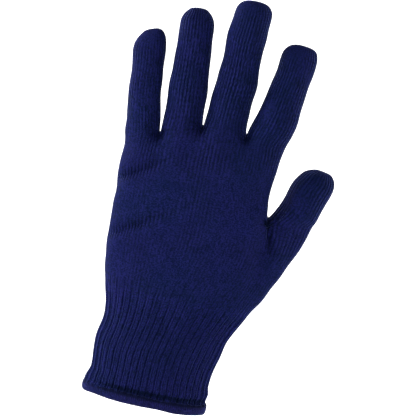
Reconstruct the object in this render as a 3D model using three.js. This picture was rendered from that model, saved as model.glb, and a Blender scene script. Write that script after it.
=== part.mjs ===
// A knitted glove liner for the left hand, as it stands when a hand fills it.
// Millimetres. The origin is the centre of the cuff's mouth, +Z runs up the arm to the
// fingertips, -Y is the back of the hand and +X is the thumb side.
// The fabric is one knitted wall. Its wales run up the columns of a quad net: round the
// cuff, up the palm, and on into the thumb and the four fingers, where the net divides.
import * as THREE from "three";

// Wall and joins
const WALL = 1.5; // thickness of the knitted fabric
const JOIN_GAP = 0.3; // clearance between two knitted sections
const RING_PITCH = 6.2; // longest step between two rings of the net

// Hem: the rolled and overedged end of the cuff
const HEM_HEIGHT = 6;
const HEM_THICKNESS = 3.6;
const HEM_OFFSET = 0.6; // how far the roll's middle lies outside the middle of the wall

// Cuff
const CUFF_LENGTH = 67; // from the mouth to where the ribs end at the heel of the hand
const CUFF_WIDTH = 74.2;
const CUFF_DEPTH = 36;
const RIB_COUNT = 44;
const RIB_RELIEF = 0.9; // from the rib's crest to the groove beside it
const WALES_PER_RIB = 3; // two stand up, the third lies back

// Palm
const HEEL_LENGTH = 57; // from the cuff to the crotch of the thumb
const KNUCKLE_LENGTH = 46.5; // from the crotch of the thumb to the crotch of the middle finger
const PALM_WIDTH = 94;
const PALM_DEPTH = 30;

// Digits: length runs from the upper one of the crotches beside the digit to its tip, lean
// turns it from +Z towards +X, and curl is how far its tip has bent towards the palm.
const LITTLE_FINGER = { length: 59.8, width: 19.4, depth: 17.6, lean: -5, curl: 7 };
const RING_FINGER = { length: 68.1, width: 21.8, depth: 19.2, lean: -4, curl: 7 };
const MIDDLE_FINGER = { length: 78.9, width: 24, depth: 20.6, lean: 2.2, curl: 6 };
const INDEX_FINGER = { length: 59.8, width: 22.6, depth: 19.8, lean: 9.8, curl: 9 };
const THUMB = { length: 36.5, width: 23.2, depth: 21.4, lean: 20, curl: 3 };

// Columns of the net on the back of the hand. A column is two wales wide, the palm side has
// as many, and a side or a crotch is SIDE_COLUMNS wide.
const COLUMNS = { little: 5, ring: 5, middle: 6, index: 6, thumb: 5 };
const SIDE_COLUMNS = 3;

// Sections of the cuff. at: share of CUFF_LENGTH. left and right: shares of half of
// CUFF_WIDTH. back and palm: shares of half of CUFF_DEPTH. square: 2 is an oval, more is
// boxier.
const CUFF_SECTIONS = [
  { at: 0.0, left: 1.023, right: 0.942, back: 1.0, palm: 1.0, square: 2.1 },
  { at: 0.1, left: 1.013, right: 0.962, back: 0.99, palm: 0.99, square: 2.1 },
  { at: 0.175, left: 0.992, right: 0.972, back: 0.96, palm: 0.97, square: 2.1 },
  { at: 0.26, left: 0.989, right: 0.96, back: 0.95, palm: 0.96, square: 2.1 },
  { at: 0.36, left: 0.997, right: 0.985, back: 0.95, palm: 0.96, square: 2.1 },
  { at: 0.46, left: 1.01, right: 1.018, back: 0.96, palm: 0.97, square: 2.1 },
  { at: 0.55, left: 0.985, right: 1.056, back: 0.97, palm: 0.99, square: 2.1 },
  { at: 0.7, left: 0.943, right: 1.124, back: 0.97, palm: 1.02, square: 2.15 },
  { at: 0.82, left: 0.96, right: 1.222, back: 0.96, palm: 1.06, square: 2.2 },
  { at: 0.91, left: 0.992, right: 1.318, back: 0.945, palm: 1.07, square: 2.25 },
  { at: 1.0, left: 1.03, right: 1.404, back: 0.93, palm: 1.08, square: 2.3 },
];

// Sections of the hand from the cuff up to the crotch of the thumb, where the first is the
// cuff's own end. at: share of HEEL_LENGTH. left and right: shares of half of PALM_WIDTH.
// back and palm: shares of half of PALM_DEPTH. lean: how far the thumb's side has swung
// towards the palm, as a share of PALM_DEPTH.
const HEEL_SECTIONS = [
  { at: 0.17, left: 0.862, right: 1.226, back: 1.07, palm: 1.3, square: 2.3, lean: 0.05 },
  { at: 0.35, left: 0.889, right: 1.332, back: 1.02, palm: 1.27, square: 2.35, lean: 0.1 },
  { at: 0.52, left: 0.909, right: 1.43, back: 0.98, palm: 1.2, square: 2.4, lean: 0.15 },
  { at: 0.7, left: 0.917, right: 1.53, back: 0.96, palm: 1.12, square: 2.4, lean: 0.19 },
  { at: 0.85, left: 0.918, right: 1.59, back: 0.95, palm: 1.06, square: 2.4, lean: 0.21 },
  { at: 1.0, left: 0.928, right: 1.648, back: 0.94, palm: 1.0, square: 2.4, lean: 0.22 },
];

// Sections of the hand above the crotch of the thumb, where the first is the heel's last up
// to that crotch. at: share of KNUCKLE_LENGTH.
const KNUCKLE_SECTIONS = [
  { at: 0.22, left: 0.943, right: 1.013, back: 0.93, palm: 0.97, square: 2.5, lean: 0.0 },
  { at: 0.45, left: 0.94, right: 1.021, back: 0.91, palm: 0.93, square: 2.5, lean: 0.0 },
  { at: 0.68, left: 0.93, right: 1.043, back: 0.87, palm: 0.88, square: 2.45, lean: 0.0 },
  { at: 0.86, left: 0.943, right: 1.068, back: 0.8, palm: 0.82, square: 2.4, lean: 0.0 },
  { at: 1.0, left: 0.972, right: 1.1, back: 0.72, palm: 0.76, square: 2.3, lean: 0.0 },
];

// Crotches. across: share of half of PALM_WIDTH. drop: how far the crotch lies below the
// middle finger's, as a share of KNUCKLE_LENGTH. dimple: how far the fabric sinks in at the
// crotch on both faces of the hand, as a share of PALM_DEPTH.
const FINGER_WEBS = [
  { across: -0.515, drop: 0.2, dimple: 0.2 },
  { across: 0.0, drop: 0.0, dimple: 0.2 },
  { across: 0.568, drop: 0.0, dimple: 0.2 },
];
const THUMB_WEB = { across: 1.064, dimple: 0.16 };
const WEB_SPREAD = 0.19; // the crotch's own length from back to palm, over PALM_DEPTH
const WEB_SAG = 0.1; // how far the crotch's two ends hang below its middle, over PALM_DEPTH
const DIMPLE_REACH = 0.16; // how far a dimple spreads, over PALM_DEPTH
const LAST_RING_DROP = 0.035; // from the crotches down to the last ring, over KNUCKLE_LENGTH

// Sections of the digits. at: share of the digit's length. bow: how far the middle lies
// off the straight axis towards +X, width and depth: all shares of the digit's own width
// or depth. tilt: the ring's own turn from square to the digit, in degrees.
const LITTLE_SECTIONS = [
  { at: 0.1, bow: 0.0, width: 1.02, depth: 1.0, tilt: 0 },
  { at: 0.28, bow: -0.05, width: 1.0, depth: 1.0, tilt: 0 },
  { at: 0.48, bow: -0.07, width: 1.0, depth: 0.97, tilt: 0 },
  { at: 0.64, bow: -0.06, width: 0.97, depth: 0.94, tilt: -3 },
  { at: 0.77, bow: -0.08, width: 1.03, depth: 0.93, tilt: -7 },
  { at: 0.88, bow: -0.085, width: 0.96, depth: 0.84, tilt: -11 },
  { at: 0.955, bow: -0.065, width: 0.71, depth: 0.6, tilt: -13 },
];
const RING_SECTIONS = [
  { at: 0.09, bow: 0.01, width: 1.05, depth: 1.0, tilt: 0 },
  { at: 0.27, bow: 0.01, width: 1.08, depth: 1.02, tilt: 0 },
  { at: 0.44, bow: 0.02, width: 1.0, depth: 0.98, tilt: 0 },
  { at: 0.61, bow: 0.02, width: 0.97, depth: 0.95, tilt: 0 },
  { at: 0.78, bow: 0.015, width: 0.965, depth: 0.93, tilt: 0 },
  { at: 0.9, bow: 0.0, width: 0.92, depth: 0.86, tilt: -2 },
  { at: 0.965, bow: 0.005, width: 0.65, depth: 0.6, tilt: -3 },
];
const MIDDLE_SECTIONS = [
  { at: 0.07, bow: -0.02, width: 1.03, depth: 1.0, tilt: 0 },
  { at: 0.24, bow: -0.01, width: 1.02, depth: 1.02, tilt: 0 },
  { at: 0.39, bow: 0.01, width: 1.04, depth: 1.0, tilt: 0 },
  { at: 0.53, bow: -0.02, width: 0.94, depth: 0.94, tilt: 0 },
  { at: 0.68, bow: -0.035, width: 0.965, depth: 0.94, tilt: 0 },
  { at: 0.84, bow: -0.015, width: 0.945, depth: 0.9, tilt: -1 },
  { at: 0.93, bow: -0.015, width: 0.91, depth: 0.8, tilt: -2 },
  { at: 0.977, bow: -0.015, width: 0.7, depth: 0.54, tilt: -2 },
];
const INDEX_SECTIONS = [
  { at: 0.1, bow: 0.03, width: 1.11, depth: 1.02, tilt: 0 },
  { at: 0.27, bow: 0.06, width: 1.07, depth: 1.02, tilt: 2 },
  { at: 0.44, bow: 0.04, width: 0.97, depth: 0.97, tilt: 4 },
  { at: 0.6, bow: 0.04, width: 0.965, depth: 0.94, tilt: 4 },
  { at: 0.76, bow: 0.025, width: 0.96, depth: 0.92, tilt: 2 },
  { at: 0.89, bow: 0.005, width: 0.94, depth: 0.82, tilt: -1 },
  { at: 0.965, bow: 0.005, width: 0.74, depth: 0.58, tilt: -4 },
];
const THUMB_SECTIONS = [
  { at: 0.16, bow: 0.05, width: 1.06, depth: 1.02, tilt: -9 },
  { at: 0.38, bow: 0.03, width: 1.04, depth: 1.0, tilt: -2 },
  { at: 0.6, bow: 0.005, width: 1.06, depth: 0.98, tilt: 0 },
  { at: 0.79, bow: 0.035, width: 0.95, depth: 0.92, tilt: -4 },
  { at: 0.9, bow: 0.02, width: 0.78, depth: 0.8, tilt: -10 },
  { at: 0.965, bow: 0.03, width: 0.54, depth: 0.56, tilt: -11 },
];
const DOME_POWER = 3; // of the fingertips: 2 is round, more is flatter

// Folds, knuckles and pads of the hand. side: -1 on the back, 1 on the palm. across: share
// of half of PALM_WIDTH. at: share of the height of the fingers' crotches. turn: of the fold
// from +X, in degrees. reach and spread: half length and half breadth, and rise: all shares
// of PALM_DEPTH.
const RELIEF = [
  { side: -1, across: -0.72, at: 0.795, turn: 32, reach: 0.5, spread: 0.13, rise: -0.045 }, // upper fold
  { side: -1, across: -0.76, at: 0.833, turn: 32, reach: 0.45, spread: 0.15, rise: 0.04 }, // upper roll
  { side: -1, across: -0.62, at: 0.602, turn: 31, reach: 0.55, spread: 0.13, rise: -0.045 }, // lower fold
  { side: -1, across: -0.68, at: 0.64, turn: 31, reach: 0.5, spread: 0.15, rise: 0.035 }, // lower roll
  { side: -1, across: 1.12, at: 0.665, turn: 82, reach: 0.75, spread: 0.17, rise: -0.1 }, // thumb valley
  { side: -1, across: -0.76, at: 0.9, turn: 96, reach: 0.42, spread: 0.2, rise: 0.035 }, // little knuckle
  { side: -1, across: -0.27, at: 0.93, turn: 92, reach: 0.48, spread: 0.24, rise: 0.045 }, // ring knuckle
  { side: -1, across: 0.28, at: 0.94, turn: 88, reach: 0.5, spread: 0.26, rise: 0.05 }, // middle knuckle
  { side: -1, across: 0.82, at: 0.92, turn: 80, reach: 0.46, spread: 0.24, rise: 0.045 }, // index knuckle
  { side: 1, across: 0.75, at: 0.5, turn: 62, reach: 1.1, spread: 0.55, rise: 0.16 }, // thenar pad
  { side: 1, across: -0.62, at: 0.48, turn: 92, reach: 1.2, spread: 0.5, rise: 0.1 }, // little pad
  { side: 1, across: 0.05, at: 0.66, turn: 80, reach: 0.9, spread: 0.5, rise: -0.13 }, // palm hollow
];
const RELIEF_EDGE = 1.6; // how sharply a fold ends where the hand's side turns away

const THUMB_CROTCH_Z = CUFF_LENGTH + HEEL_LENGTH;
const KNUCKLE_Z = THUMB_CROTCH_Z + KNUCKLE_LENGTH;

const radians = THREE.MathUtils.degToRad;
const mix = THREE.MathUtils.lerp;
const ease = (t) => THREE.MathUtils.smoothstep(t, 0, 1);
const count = (length) => Array.from({ length }, (_, i) => i);

// A table read at a share, on a smooth curve through its rows.
function read(table, at) {
  const last = table.length - 1;
  let i = 0;
  while (i < last - 1 && at > table[i + 1].at) i += 1;
  const [a, b, c, d] = [i - 1, i, i + 1, i + 2].map((n) => table[Math.min(Math.max(n, 0), last)]);
  const span = c.at - b.at;
  const t = THREE.MathUtils.clamp((at - b.at) / span, 0, 1);
  const row = {};
  for (const key of Object.keys(b)) {
    const before = ((c[key] - a[key]) / (c.at - a.at)) * span;
    const after = ((d[key] - b[key]) / (d.at - b.at)) * span;
    row[key] =
      b[key] * (2 * t ** 3 - 3 * t ** 2 + 1) +
      before * (t ** 3 - 2 * t ** 2 + t) +
      c[key] * (3 * t ** 2 - 2 * t ** 3) +
      after * (t ** 3 - t ** 2);
  }
  return row;
}

// A table of body sections in millimetres.
const inMillimetres = (table, width, depth) =>
  table.map((row) => ({
    at: row.at,
    left: (row.left * width) / 2,
    right: (row.right * width) / 2,
    back: (row.back * depth) / 2,
    palm: (row.palm * depth) / 2,
    square: row.square,
    lean: (row.lean ?? 0) * depth,
  }));

// Each part of the body starts from the last section of the part below it.
const crotchX = (web) => (web.across * PALM_WIDTH) / 2;
const cuffRows = inMillimetres(CUFF_SECTIONS, CUFF_WIDTH, CUFF_DEPTH);
const heelRows = [
  { ...cuffRows.at(-1), at: 0 },
  ...inMillimetres(HEEL_SECTIONS, PALM_WIDTH, PALM_DEPTH),
];
const knuckleRows = [
  { ...heelRows.at(-1), at: 0, right: crotchX(THUMB_WEB), lean: 0 },
  ...inMillimetres(KNUCKLE_SECTIONS, PALM_WIDTH, PALM_DEPTH),
];

// The closed outline of one section, sampled evenly by angle from its left edge over the
// back of the hand, with the share of the way round at each sample.
const OUTLINE_SAMPLES = 720;
function outlineOf({ left, right, back, palm, square, lean }) {
  const middle = (right - left) / 2;
  const reach = (right + left) / 2;
  const points = count(OUTLINE_SAMPLES).map((i) => {
    const angle = (2 * Math.PI * i) / OUTLINE_SAMPLES;
    const [c, s] = [-Math.cos(angle), -Math.sin(angle)];
    const x = middle + reach * Math.sign(c) * Math.abs(c) ** (2 / square);
    const y = Math.sign(s) * Math.abs(s) ** (2 / square) * (s < 0 ? back : palm);
    return new THREE.Vector2(x, y + lean * ease((x - middle) / reach));
  });
  const along = [0];
  for (let i = 1; i <= OUTLINE_SAMPLES; i += 1) {
    along.push(along[i - 1] + points[i % OUTLINE_SAMPLES].distanceTo(points[i - 1]));
  }
  return { points, share: along.map((d) => d / along[OUTLINE_SAMPLES]) };
}

// The point of an outline at a share of the way round, moved out by a distance.
function pointAt({ points, share }, s, out = 0) {
  const want = THREE.MathUtils.euclideanModulo(s, 1);
  let i = 0;
  while (share[i + 1] < want) i += 1;
  const [a, b] = [points[i], points[(i + 1) % points.length]];
  const way = b.clone().sub(a).normalize();
  const point = a.clone().lerp(b, (want - share[i]) / (share[i + 1] - share[i]));
  return point.add(new THREE.Vector2(way.y, -way.x).multiplyScalar(out));
}

// The share of the way round at which the outline crosses x, on the back or the palm side.
function shareAtX({ points, share }, x, onBack) {
  const half = points.length / 2;
  const from = onBack ? 0 : half;
  const i = count(half).findIndex((n) => {
    const [a, b] = [points[from + n], points[(from + n + 1) % points.length]];
    return (a.x - x) * (b.x - x) <= 0;
  });
  const [a, b] = [points[from + i], points[(from + i + 1) % points.length]];
  return mix(share[from + i], share[from + i + 1], (x - a.x) / (b.x - a.x));
}

// The columns of the net are numbered from the little finger's outer edge over the back of
// the hand, and run back on the palm side. first: a digit's first column on the back.
const first = {};
let columnsSoFar = 0;
for (const [name, columns] of Object.entries(COLUMNS)) {
  first[name] = columnsSoFar;
  columnsSoFar += columns;
}
const BODY_COLUMNS = columnsSoFar; // across the back, with the thumb
const HAND_COLUMNS = first.thumb; // across the back, above the thumb
const around = (columns) => 2 * (columns + SIDE_COLUMNS);
const palmSide = (column, columns) => 2 * columns + SIDE_COLUMNS - column;

const fingerCrotches = FINGER_WEBS.map((web, n) => ({
  column: first[["ring", "middle", "index"][n]],
  x: crotchX(web),
  z: KNUCKLE_Z - web.drop * KNUCKLE_LENGTH,
  dimple: web.dimple * PALM_DEPTH,
}));
const thumbCrotch = {
  column: HAND_COLUMNS,
  x: crotchX(THUMB_WEB),
  z: THUMB_CROTCH_Z,
  dimple: THUMB_WEB.dimple * PALM_DEPTH,
};

// One ring of the body. The columns that lead up to the crotches are drawn over towards
// them by pull, from 0 to 1, and the others stand evenly between those.
function bodyRing(row, crotches, columns, pull) {
  const outline = outlineOf(row);
  const size = around(columns);
  const even = (column) => (column + SIDE_COLUMNS / 2) / size;
  const onBack = crotches.map(({ column, x }) => [
    column,
    mix(even(column), shareAtX(outline, x, true), pull),
  ]);
  const onPalm = crotches.map(({ column, x }) => [
    palmSide(column, columns),
    mix(even(palmSide(column, columns)), shareAtX(outline, x, false), pull),
  ]);
  const knots = [
    [-SIDE_COLUMNS / 2, 0],
    ...onBack,
    [columns + SIDE_COLUMNS / 2, 0.5],
    ...onPalm.reverse(),
    [size - SIDE_COLUMNS / 2, 1],
    [size + SIDE_COLUMNS / 2, 1 + SIDE_COLUMNS / size],
  ];
  return count(size).map((column) => {
    const k = knots.findIndex((knot) => knot[0] >= column);
    const [a, b] = [knots[k - 1], knots[k]];
    return pointAt(outline, mix(a[1], b[1], (column - a[0]) / (b[0] - a[0])));
  });
}

// The net: points, and quads that each name the knitted section they belong to.
class Net {
  constructor() {
    this.points = [];
    this.quads = [];
  }

  ring(points) {
    return points.map((p) => this.points.push(p) - 1);
  }

  // Quads between two closed loops of as many columns, the lower first.
  join(lower, upper, section) {
    lower.forEach((_, i) => {
      const next = (i + 1) % lower.length;
      this.quads.push({ corners: [lower[i], lower[next], upper[next], upper[i]], section });
    });
  }

  // Quads that close a digit's last loop. The cap is a grid, so that the wales run over the
  // fingertip from the back to the palm side.
  cap(loop, columns, rise, section) {
    const deep = SIDE_COLUMNS;
    const grid = count(deep + 1).map((row) =>
      count(columns + 1).map((i) => {
        if (row === 0) return loop[i];
        if (row === deep) return loop[2 * columns + deep - i];
        if (i === columns) return loop[columns + row];
        return i === 0 ? loop[loop.length - row] : null;
      }),
    );
    const at = (row, i) => this.points[grid[row][i]].clone();
    const dome = (t) => 1 - Math.abs(2 * t - 1) ** DOME_POWER;
    for (let row = 1; row < deep; row += 1) {
      for (let i = 1; i < columns; i += 1) {
        const [u, v] = [i / columns, row / deep];
        const sideways = at(row, 0).lerp(at(row, columns), u);
        const through = at(0, i).lerp(at(deep, i), v);
        const corners = at(0, 0)
          .lerp(at(0, columns), u)
          .lerp(at(deep, 0).lerp(at(deep, columns), u), v);
        const point = sideways.add(through).sub(corners);
        [grid[row][i]] = this.ring([point.addScaledVector(rise, dome(u) * dome(v))]);
      }
    }
    for (let row = 0; row < deep; row += 1) {
      for (let i = 0; i < columns; i += 1) {
        const corners = [grid[row][i], grid[row][i + 1], grid[row + 1][i + 1], grid[row + 1][i]];
        this.quads.push({ corners, section });
      }
    }
  }

  // One outward normal for each point.
  normals() {
    const sums = this.points.map(() => new THREE.Vector3());
    for (const { corners } of this.quads) {
      const [a, b, c, d] = corners.map((n) => this.points[n]);
      const normal = c.clone().sub(a).cross(d.clone().sub(b));
      corners.forEach((n) => sums[n].add(normal));
    }
    return sums.map((n) => n.normalize());
  }
}

const net = new Net();

// Even steps from one value to another, none longer than longest, without the first.
function steps(from, to, longest) {
  const number = Math.ceil((to - from) / longest);
  return count(number).map((i) => mix(from, to, (i + 1) / number));
}

// A crotch: its ends on the back and the palm hang down, and two points between them carry
// the fabric through.
function openCrotch(loop, columns, { column, x, z }) {
  const front = net.points[loop[column]];
  const rear = net.points[loop[palmSide(column, columns)]];
  front.z -= WEB_SAG * PALM_DEPTH;
  rear.z -= WEB_SAG * PALM_DEPTH;
  const half = (WEB_SPREAD * PALM_DEPTH) / 2;
  const middle = (front.y + rear.y) / 2;
  return net.ring([-half, half].map((y) => new THREE.Vector3(x, middle + y, z)));
}

// The hand from the cuff to the crotch of the thumb.
let loop = null;
for (const z of [CUFF_LENGTH, ...steps(CUFF_LENGTH, THUMB_CROTCH_Z, RING_PITCH)]) {
  const at = (z - CUFF_LENGTH) / HEEL_LENGTH;
  const crotches = [...fingerCrotches, thumbCrotch];
  const points = bodyRing(read(heelRows, at), crotches, BODY_COLUMNS, ease(at));
  const upper = net.ring(points.map((p) => new THREE.Vector3(p.x, p.y, z)));
  if (loop) net.join(loop, upper, "palm");
  loop = upper;
}

// The net divides at the crotch of the thumb.
const bases = {};
const thumbWeb = openCrotch(loop, BODY_COLUMNS, thumbCrotch);
const thumbRear = palmSide(HAND_COLUMNS, BODY_COLUMNS);
bases.thumb = [...loop.slice(HAND_COLUMNS, thumbRear + 1), ...thumbWeb.toReversed()];
loop = [...loop.slice(0, HAND_COLUMNS + 1), ...thumbWeb, ...loop.slice(thumbRear)];

// The hand from there to the knuckles. Its rings come to follow the crotches' heights.
function crotchHeight(x) {
  const [outer, inner] = fingerCrotches;
  return mix(outer.z, inner.z, ease((x - outer.x) / (inner.x - outer.x)));
}
const lastRingZ = KNUCKLE_Z - LAST_RING_DROP * KNUCKLE_LENGTH;
for (const z of steps(THUMB_CROTCH_Z, lastRingZ, RING_PITCH)) {
  const row = read(knuckleRows, (z - THUMB_CROTCH_Z) / KNUCKLE_LENGTH);
  const follow = ease((z - THUMB_CROTCH_Z) / (lastRingZ - THUMB_CROTCH_Z));
  const points = bodyRing(row, fingerCrotches, HAND_COLUMNS, 1);
  const lowered = (p) => z - follow * (KNUCKLE_Z - crotchHeight(p.x));
  const upper = net.ring(points.map((p) => new THREE.Vector3(p.x, p.y, lowered(p))));
  net.join(loop, upper, "palm");
  loop = upper;
}

// The net divides again at the crotches of the fingers.
const fingerWebs = fingerCrotches.map((crotch) => openCrotch(loop, HAND_COLUMNS, crotch));
["little", "ring", "middle", "index"].forEach((name, n) => {
  const [from, to] = [first[name], first[name] + COLUMNS[name]];
  const rightSide = fingerWebs[n] ?? loop.slice(to + 1, to + SIDE_COLUMNS);
  const leftSide = fingerWebs[n - 1]?.toReversed() ?? loop.slice(1 - SIDE_COLUMNS);
  const palm = loop.slice(palmSide(to, HAND_COLUMNS), palmSide(from, HAND_COLUMNS) + 1);
  bases[name] = [...loop.slice(from, to + 1), ...rightSide, ...palm, ...leftSide];
});

// One digit: rings on its own axis from its base loop to its closed tip. The fabric up to
// the first ring still belongs to the palm, so that each digit starts as a whole tube.
const DIGIT_SQUARE = 2.1;
function knitDigit(name, section, size, table, base) {
  const lean = radians(size.lean);
  const axis = new THREE.Vector3(Math.sin(lean), 0, Math.cos(lean));
  const shares = table.flatMap(({ at }, n) =>
    n === 0 ? [at] : steps(table[n - 1].at, at, (2 * RING_PITCH) / size.length),
  );
  let lower = bases[name];
  shares.forEach((at, n) => {
    const row = read(table, at);
    const turn = lean + radians(row.tilt);
    const across = new THREE.Vector3(Math.cos(turn), 0, -Math.sin(turn));
    const middle = base.clone().addScaledVector(axis, at * size.length);
    middle.x += row.bow * size.width;
    middle.y += size.curl * at ** 2;
    const [side, face] = [(row.width * size.width) / 2, (row.depth * size.depth) / 2];
    const outline = outlineOf({
      left: side,
      right: side,
      back: face,
      palm: face,
      square: DIGIT_SQUARE,
      lean: 0,
    });
    const columns = around(COLUMNS[name]);
    const points = count(columns).map((column) => {
      const p = pointAt(outline, (column + SIDE_COLUMNS / 2) / columns);
      return middle.clone().addScaledVector(across, p.x).add(new THREE.Vector3(0, p.y, 0));
    });
    const upper = net.ring(points);
    net.join(lower, upper, n === 0 ? "palm" : section);
    lower = upper;
  });
  const rise = axis.multiplyScalar((1 - table.at(-1).at) * size.length);
  net.cap(lower, COLUMNS[name], rise, section);
}

// Each digit stands on the middle of its own base, at the height of its upper crotch.
const [littleWeb, ringWeb, middleWeb] = fingerCrotches;
const { left: littleEdge, right: indexEdge } = knuckleRows.at(-1);
const { right: thumbEdge, lean: thumbSwing } = heelRows.at(-1);
const standOn = (from, to, y, z) => new THREE.Vector3((from + to) / 2, y, z);
knitDigit(
  "little",
  "little_finger",
  LITTLE_FINGER,
  LITTLE_SECTIONS,
  standOn(-littleEdge, littleWeb.x, 0, littleWeb.z),
);
knitDigit(
  "ring",
  "ring_finger",
  RING_FINGER,
  RING_SECTIONS,
  standOn(littleWeb.x, ringWeb.x, 0, KNUCKLE_Z),
);
knitDigit(
  "middle",
  "middle_finger",
  MIDDLE_FINGER,
  MIDDLE_SECTIONS,
  standOn(ringWeb.x, middleWeb.x, 0, KNUCKLE_Z),
);
knitDigit(
  "index",
  "index_finger",
  INDEX_FINGER,
  INDEX_SECTIONS,
  standOn(middleWeb.x, indexEdge, 0, KNUCKLE_Z),
);
knitDigit(
  "thumb",
  "thumb",
  THUMB,
  THUMB_SECTIONS,
  standOn(thumbCrotch.x, thumbEdge, thumbSwing, THUMB_CROTCH_Z),
);

// How far a point of the hand stands out from its plain section, along its own normal.
function reliefAt(point, normal) {
  const rises = RELIEF.map((fold) => {
    const dx = point.x - (fold.across * PALM_WIDTH) / 2;
    const dz = point.z - fold.at * KNUCKLE_Z;
    const turn = radians(fold.turn);
    const along = (dx * Math.cos(turn) + dz * Math.sin(turn)) / (fold.reach * PALM_DEPTH);
    const across = (dz * Math.cos(turn) - dx * Math.sin(turn)) / (fold.spread * PALM_DEPTH);
    const facing = ease(normal.y * fold.side * RELIEF_EDGE);
    return facing * fold.rise * PALM_DEPTH * Math.exp(-(along ** 2) - across ** 2);
  });
  const startsAt = ease((point.z - CUFF_LENGTH) / (2 * RING_PITCH));
  return startsAt * rises.reduce((sum, rise) => sum + rise, 0);
}
function dimpleAt(point) {
  const depths = [...fingerCrotches, thumbCrotch].map(({ x, z, dimple }) => {
    const away = Math.hypot(point.x - x, point.z - z) / (DIMPLE_REACH * PALM_DEPTH);
    return dimple * Math.exp(-(away ** 2));
  });
  return Math.max(...depths);
}
const plainNormals = net.normals();
net.points.forEach((point, n) => {
  const { y } = plainNormals[n];
  const dimple = Math.sign(y) * ease(Math.abs(y)) * dimpleAt(point);
  point.addScaledVector(plainNormals[n], reliefAt(point, plainNormals[n]));
  point.y -= dimple;
});
const outwards = net.normals();

// Two triangles for a quad, cut along its shorter diagonal.
function twoTriangles([a, b, c, d]) {
  if (a.distanceTo(c) <= b.distanceTo(d)) return [a, b, c, a, c, d];
  return [a, b, d, b, c, d];
}

// One knitted section of the net as a wall: its outer and inner faces, with a rim along each
// edge where it meets the next section. Each rim stands back by half of JOIN_GAP.
function wallOf(section) {
  const quads = net.quads.filter((quad) => quad.section === section).map((quad) => quad.corners);
  const edges = new Map();
  for (const corners of quads) {
    corners.forEach((from, i) => {
      const to = corners[(i + 1) % 4];
      edges.set(`${from} ${to}`, [from, to]);
    });
  }
  const rims = [...edges.values()].filter(([from, to]) => !edges.has(`${to} ${from}`));
  const onRim = new Set(rims.flat());
  const outer = new Map(quads.flat().map((n) => [n, net.points[n].clone()]));
  const shift = new Map();
  for (const [from, to] of edges.values()) {
    const way = net.points[to].clone().sub(net.points[from]).setLength(JOIN_GAP / 2);
    if (onRim.has(from) && !onRim.has(to)) shift.set(from, way);
    if (onRim.has(to) && !onRim.has(from)) shift.set(to, way.negate());
  }
  shift.forEach((way, n) => outer.get(n).add(way));
  const inner = new Map();
  outer.forEach((point, n) => inner.set(n, point.clone().addScaledVector(outwards[n], -WALL)));
  const wall = quads.flatMap((corners) => [
    ...twoTriangles(corners.map((n) => outer.get(n))),
    ...twoTriangles(corners.toReversed().map((n) => inner.get(n))),
  ]);
  const rim = rims.flatMap(([from, to]) =>
    twoTriangles([outer.get(to), outer.get(from), inner.get(from), inner.get(to)]),
  );
  return [...wall, ...rim];
}

// A closed band from loops of as many points, the last joined to the first.
function band(loops) {
  return loops.flatMap((lower, n) => {
    const upper = loops[(n + 1) % loops.length];
    return lower.flatMap((_, i) => {
      const next = (i + 1) % lower.length;
      return twoTriangles([lower[i], lower[next], upper[next], upper[i]]);
    });
  });
}

// One ring of the cuff's wall, by wales. The last wale of each rib lies back.
const CUFF_WALES = RIB_COUNT * WALES_PER_RIB;
function cuffRing(z, inwards, ribbed) {
  const outline = outlineOf(read(cuffRows, z / CUFF_LENGTH));
  return count(CUFF_WALES).map((wale) => {
    const groove = ribbed && wale % WALES_PER_RIB === WALES_PER_RIB - 1 ? RIB_RELIEF : 0;
    const p = pointAt(outline, (wale + 0.5) / CUFF_WALES, -inwards - groove);
    return new THREE.Vector3(p.x, p.y, z);
  });
}

// The cuff: a tube whose outer face stands up in ribs, which end at the hem.
const OUTER_RINGS = [0, 0.06, 0.16, 0.38, 0.66, 0.84, 1];
const INNER_RINGS = [1, 0.75, 0.45, 0.2, 0];
function cuffWall() {
  const bottom = HEM_HEIGHT + JOIN_GAP;
  const top = CUFF_LENGTH - JOIN_GAP / 2;
  const outside = OUTER_RINGS.map((share, n) => cuffRing(mix(bottom, top, share), 0, n > 0));
  const inside = INNER_RINGS.map((share) => cuffRing(mix(bottom, top, share), WALL, false));
  return band([...outside, ...inside]);
}

// The hem: a roll round the mouth, under the end of the cuff's wall.
const HEM_COLUMNS = 60;
const HEM_SIDES = 10;
const HEM_SQUARE = 3;
function hemRoll() {
  const outline = outlineOf(read(cuffRows, HEM_HEIGHT / CUFF_LENGTH));
  const bulge = (t) => Math.sign(t) * Math.abs(t) ** (2 / HEM_SQUARE);
  const loops = count(HEM_SIDES).map((k) => {
    const angle = (2 * Math.PI * (k + 0.5)) / HEM_SIDES;
    const out = HEM_OFFSET - WALL / 2 + (bulge(Math.cos(angle)) * HEM_THICKNESS) / 2;
    const z = ((1 + bulge(Math.sin(angle))) * HEM_HEIGHT) / 2;
    return count(HEM_COLUMNS).map((i) => {
      const p = pointAt(outline, (i + 0.5) / HEM_COLUMNS, out);
      return new THREE.Vector3(p.x, p.y, z);
    });
  });
  return band(loops);
}

const PALM_COLOUR = 0x1a2150;
const CUFF_COLOUR = 0x171d49;
const HEM_COLOUR = 0x151a42;

// A named mesh from the corners of its triangles.
function meshOf(name, corners, color) {
  const geometry = new THREE.BufferGeometry().setFromPoints(corners);
  geometry.computeVertexNormals();
  const material = new THREE.MeshStandardMaterial({ color, roughness: 0.95, metalness: 0 });
  const mesh = new THREE.Mesh(geometry, material);
  mesh.name = name;
  return mesh;
}

const glove = new THREE.Group();
glove.add(meshOf("hem", hemRoll(), HEM_COLOUR));
glove.add(meshOf("cuff", cuffWall(), CUFF_COLOUR));
for (const section of new Set(net.quads.map((quad) => quad.section))) {
  glove.add(meshOf(section, wallOf(section), PALM_COLOUR));
}

export default glove;
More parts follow.
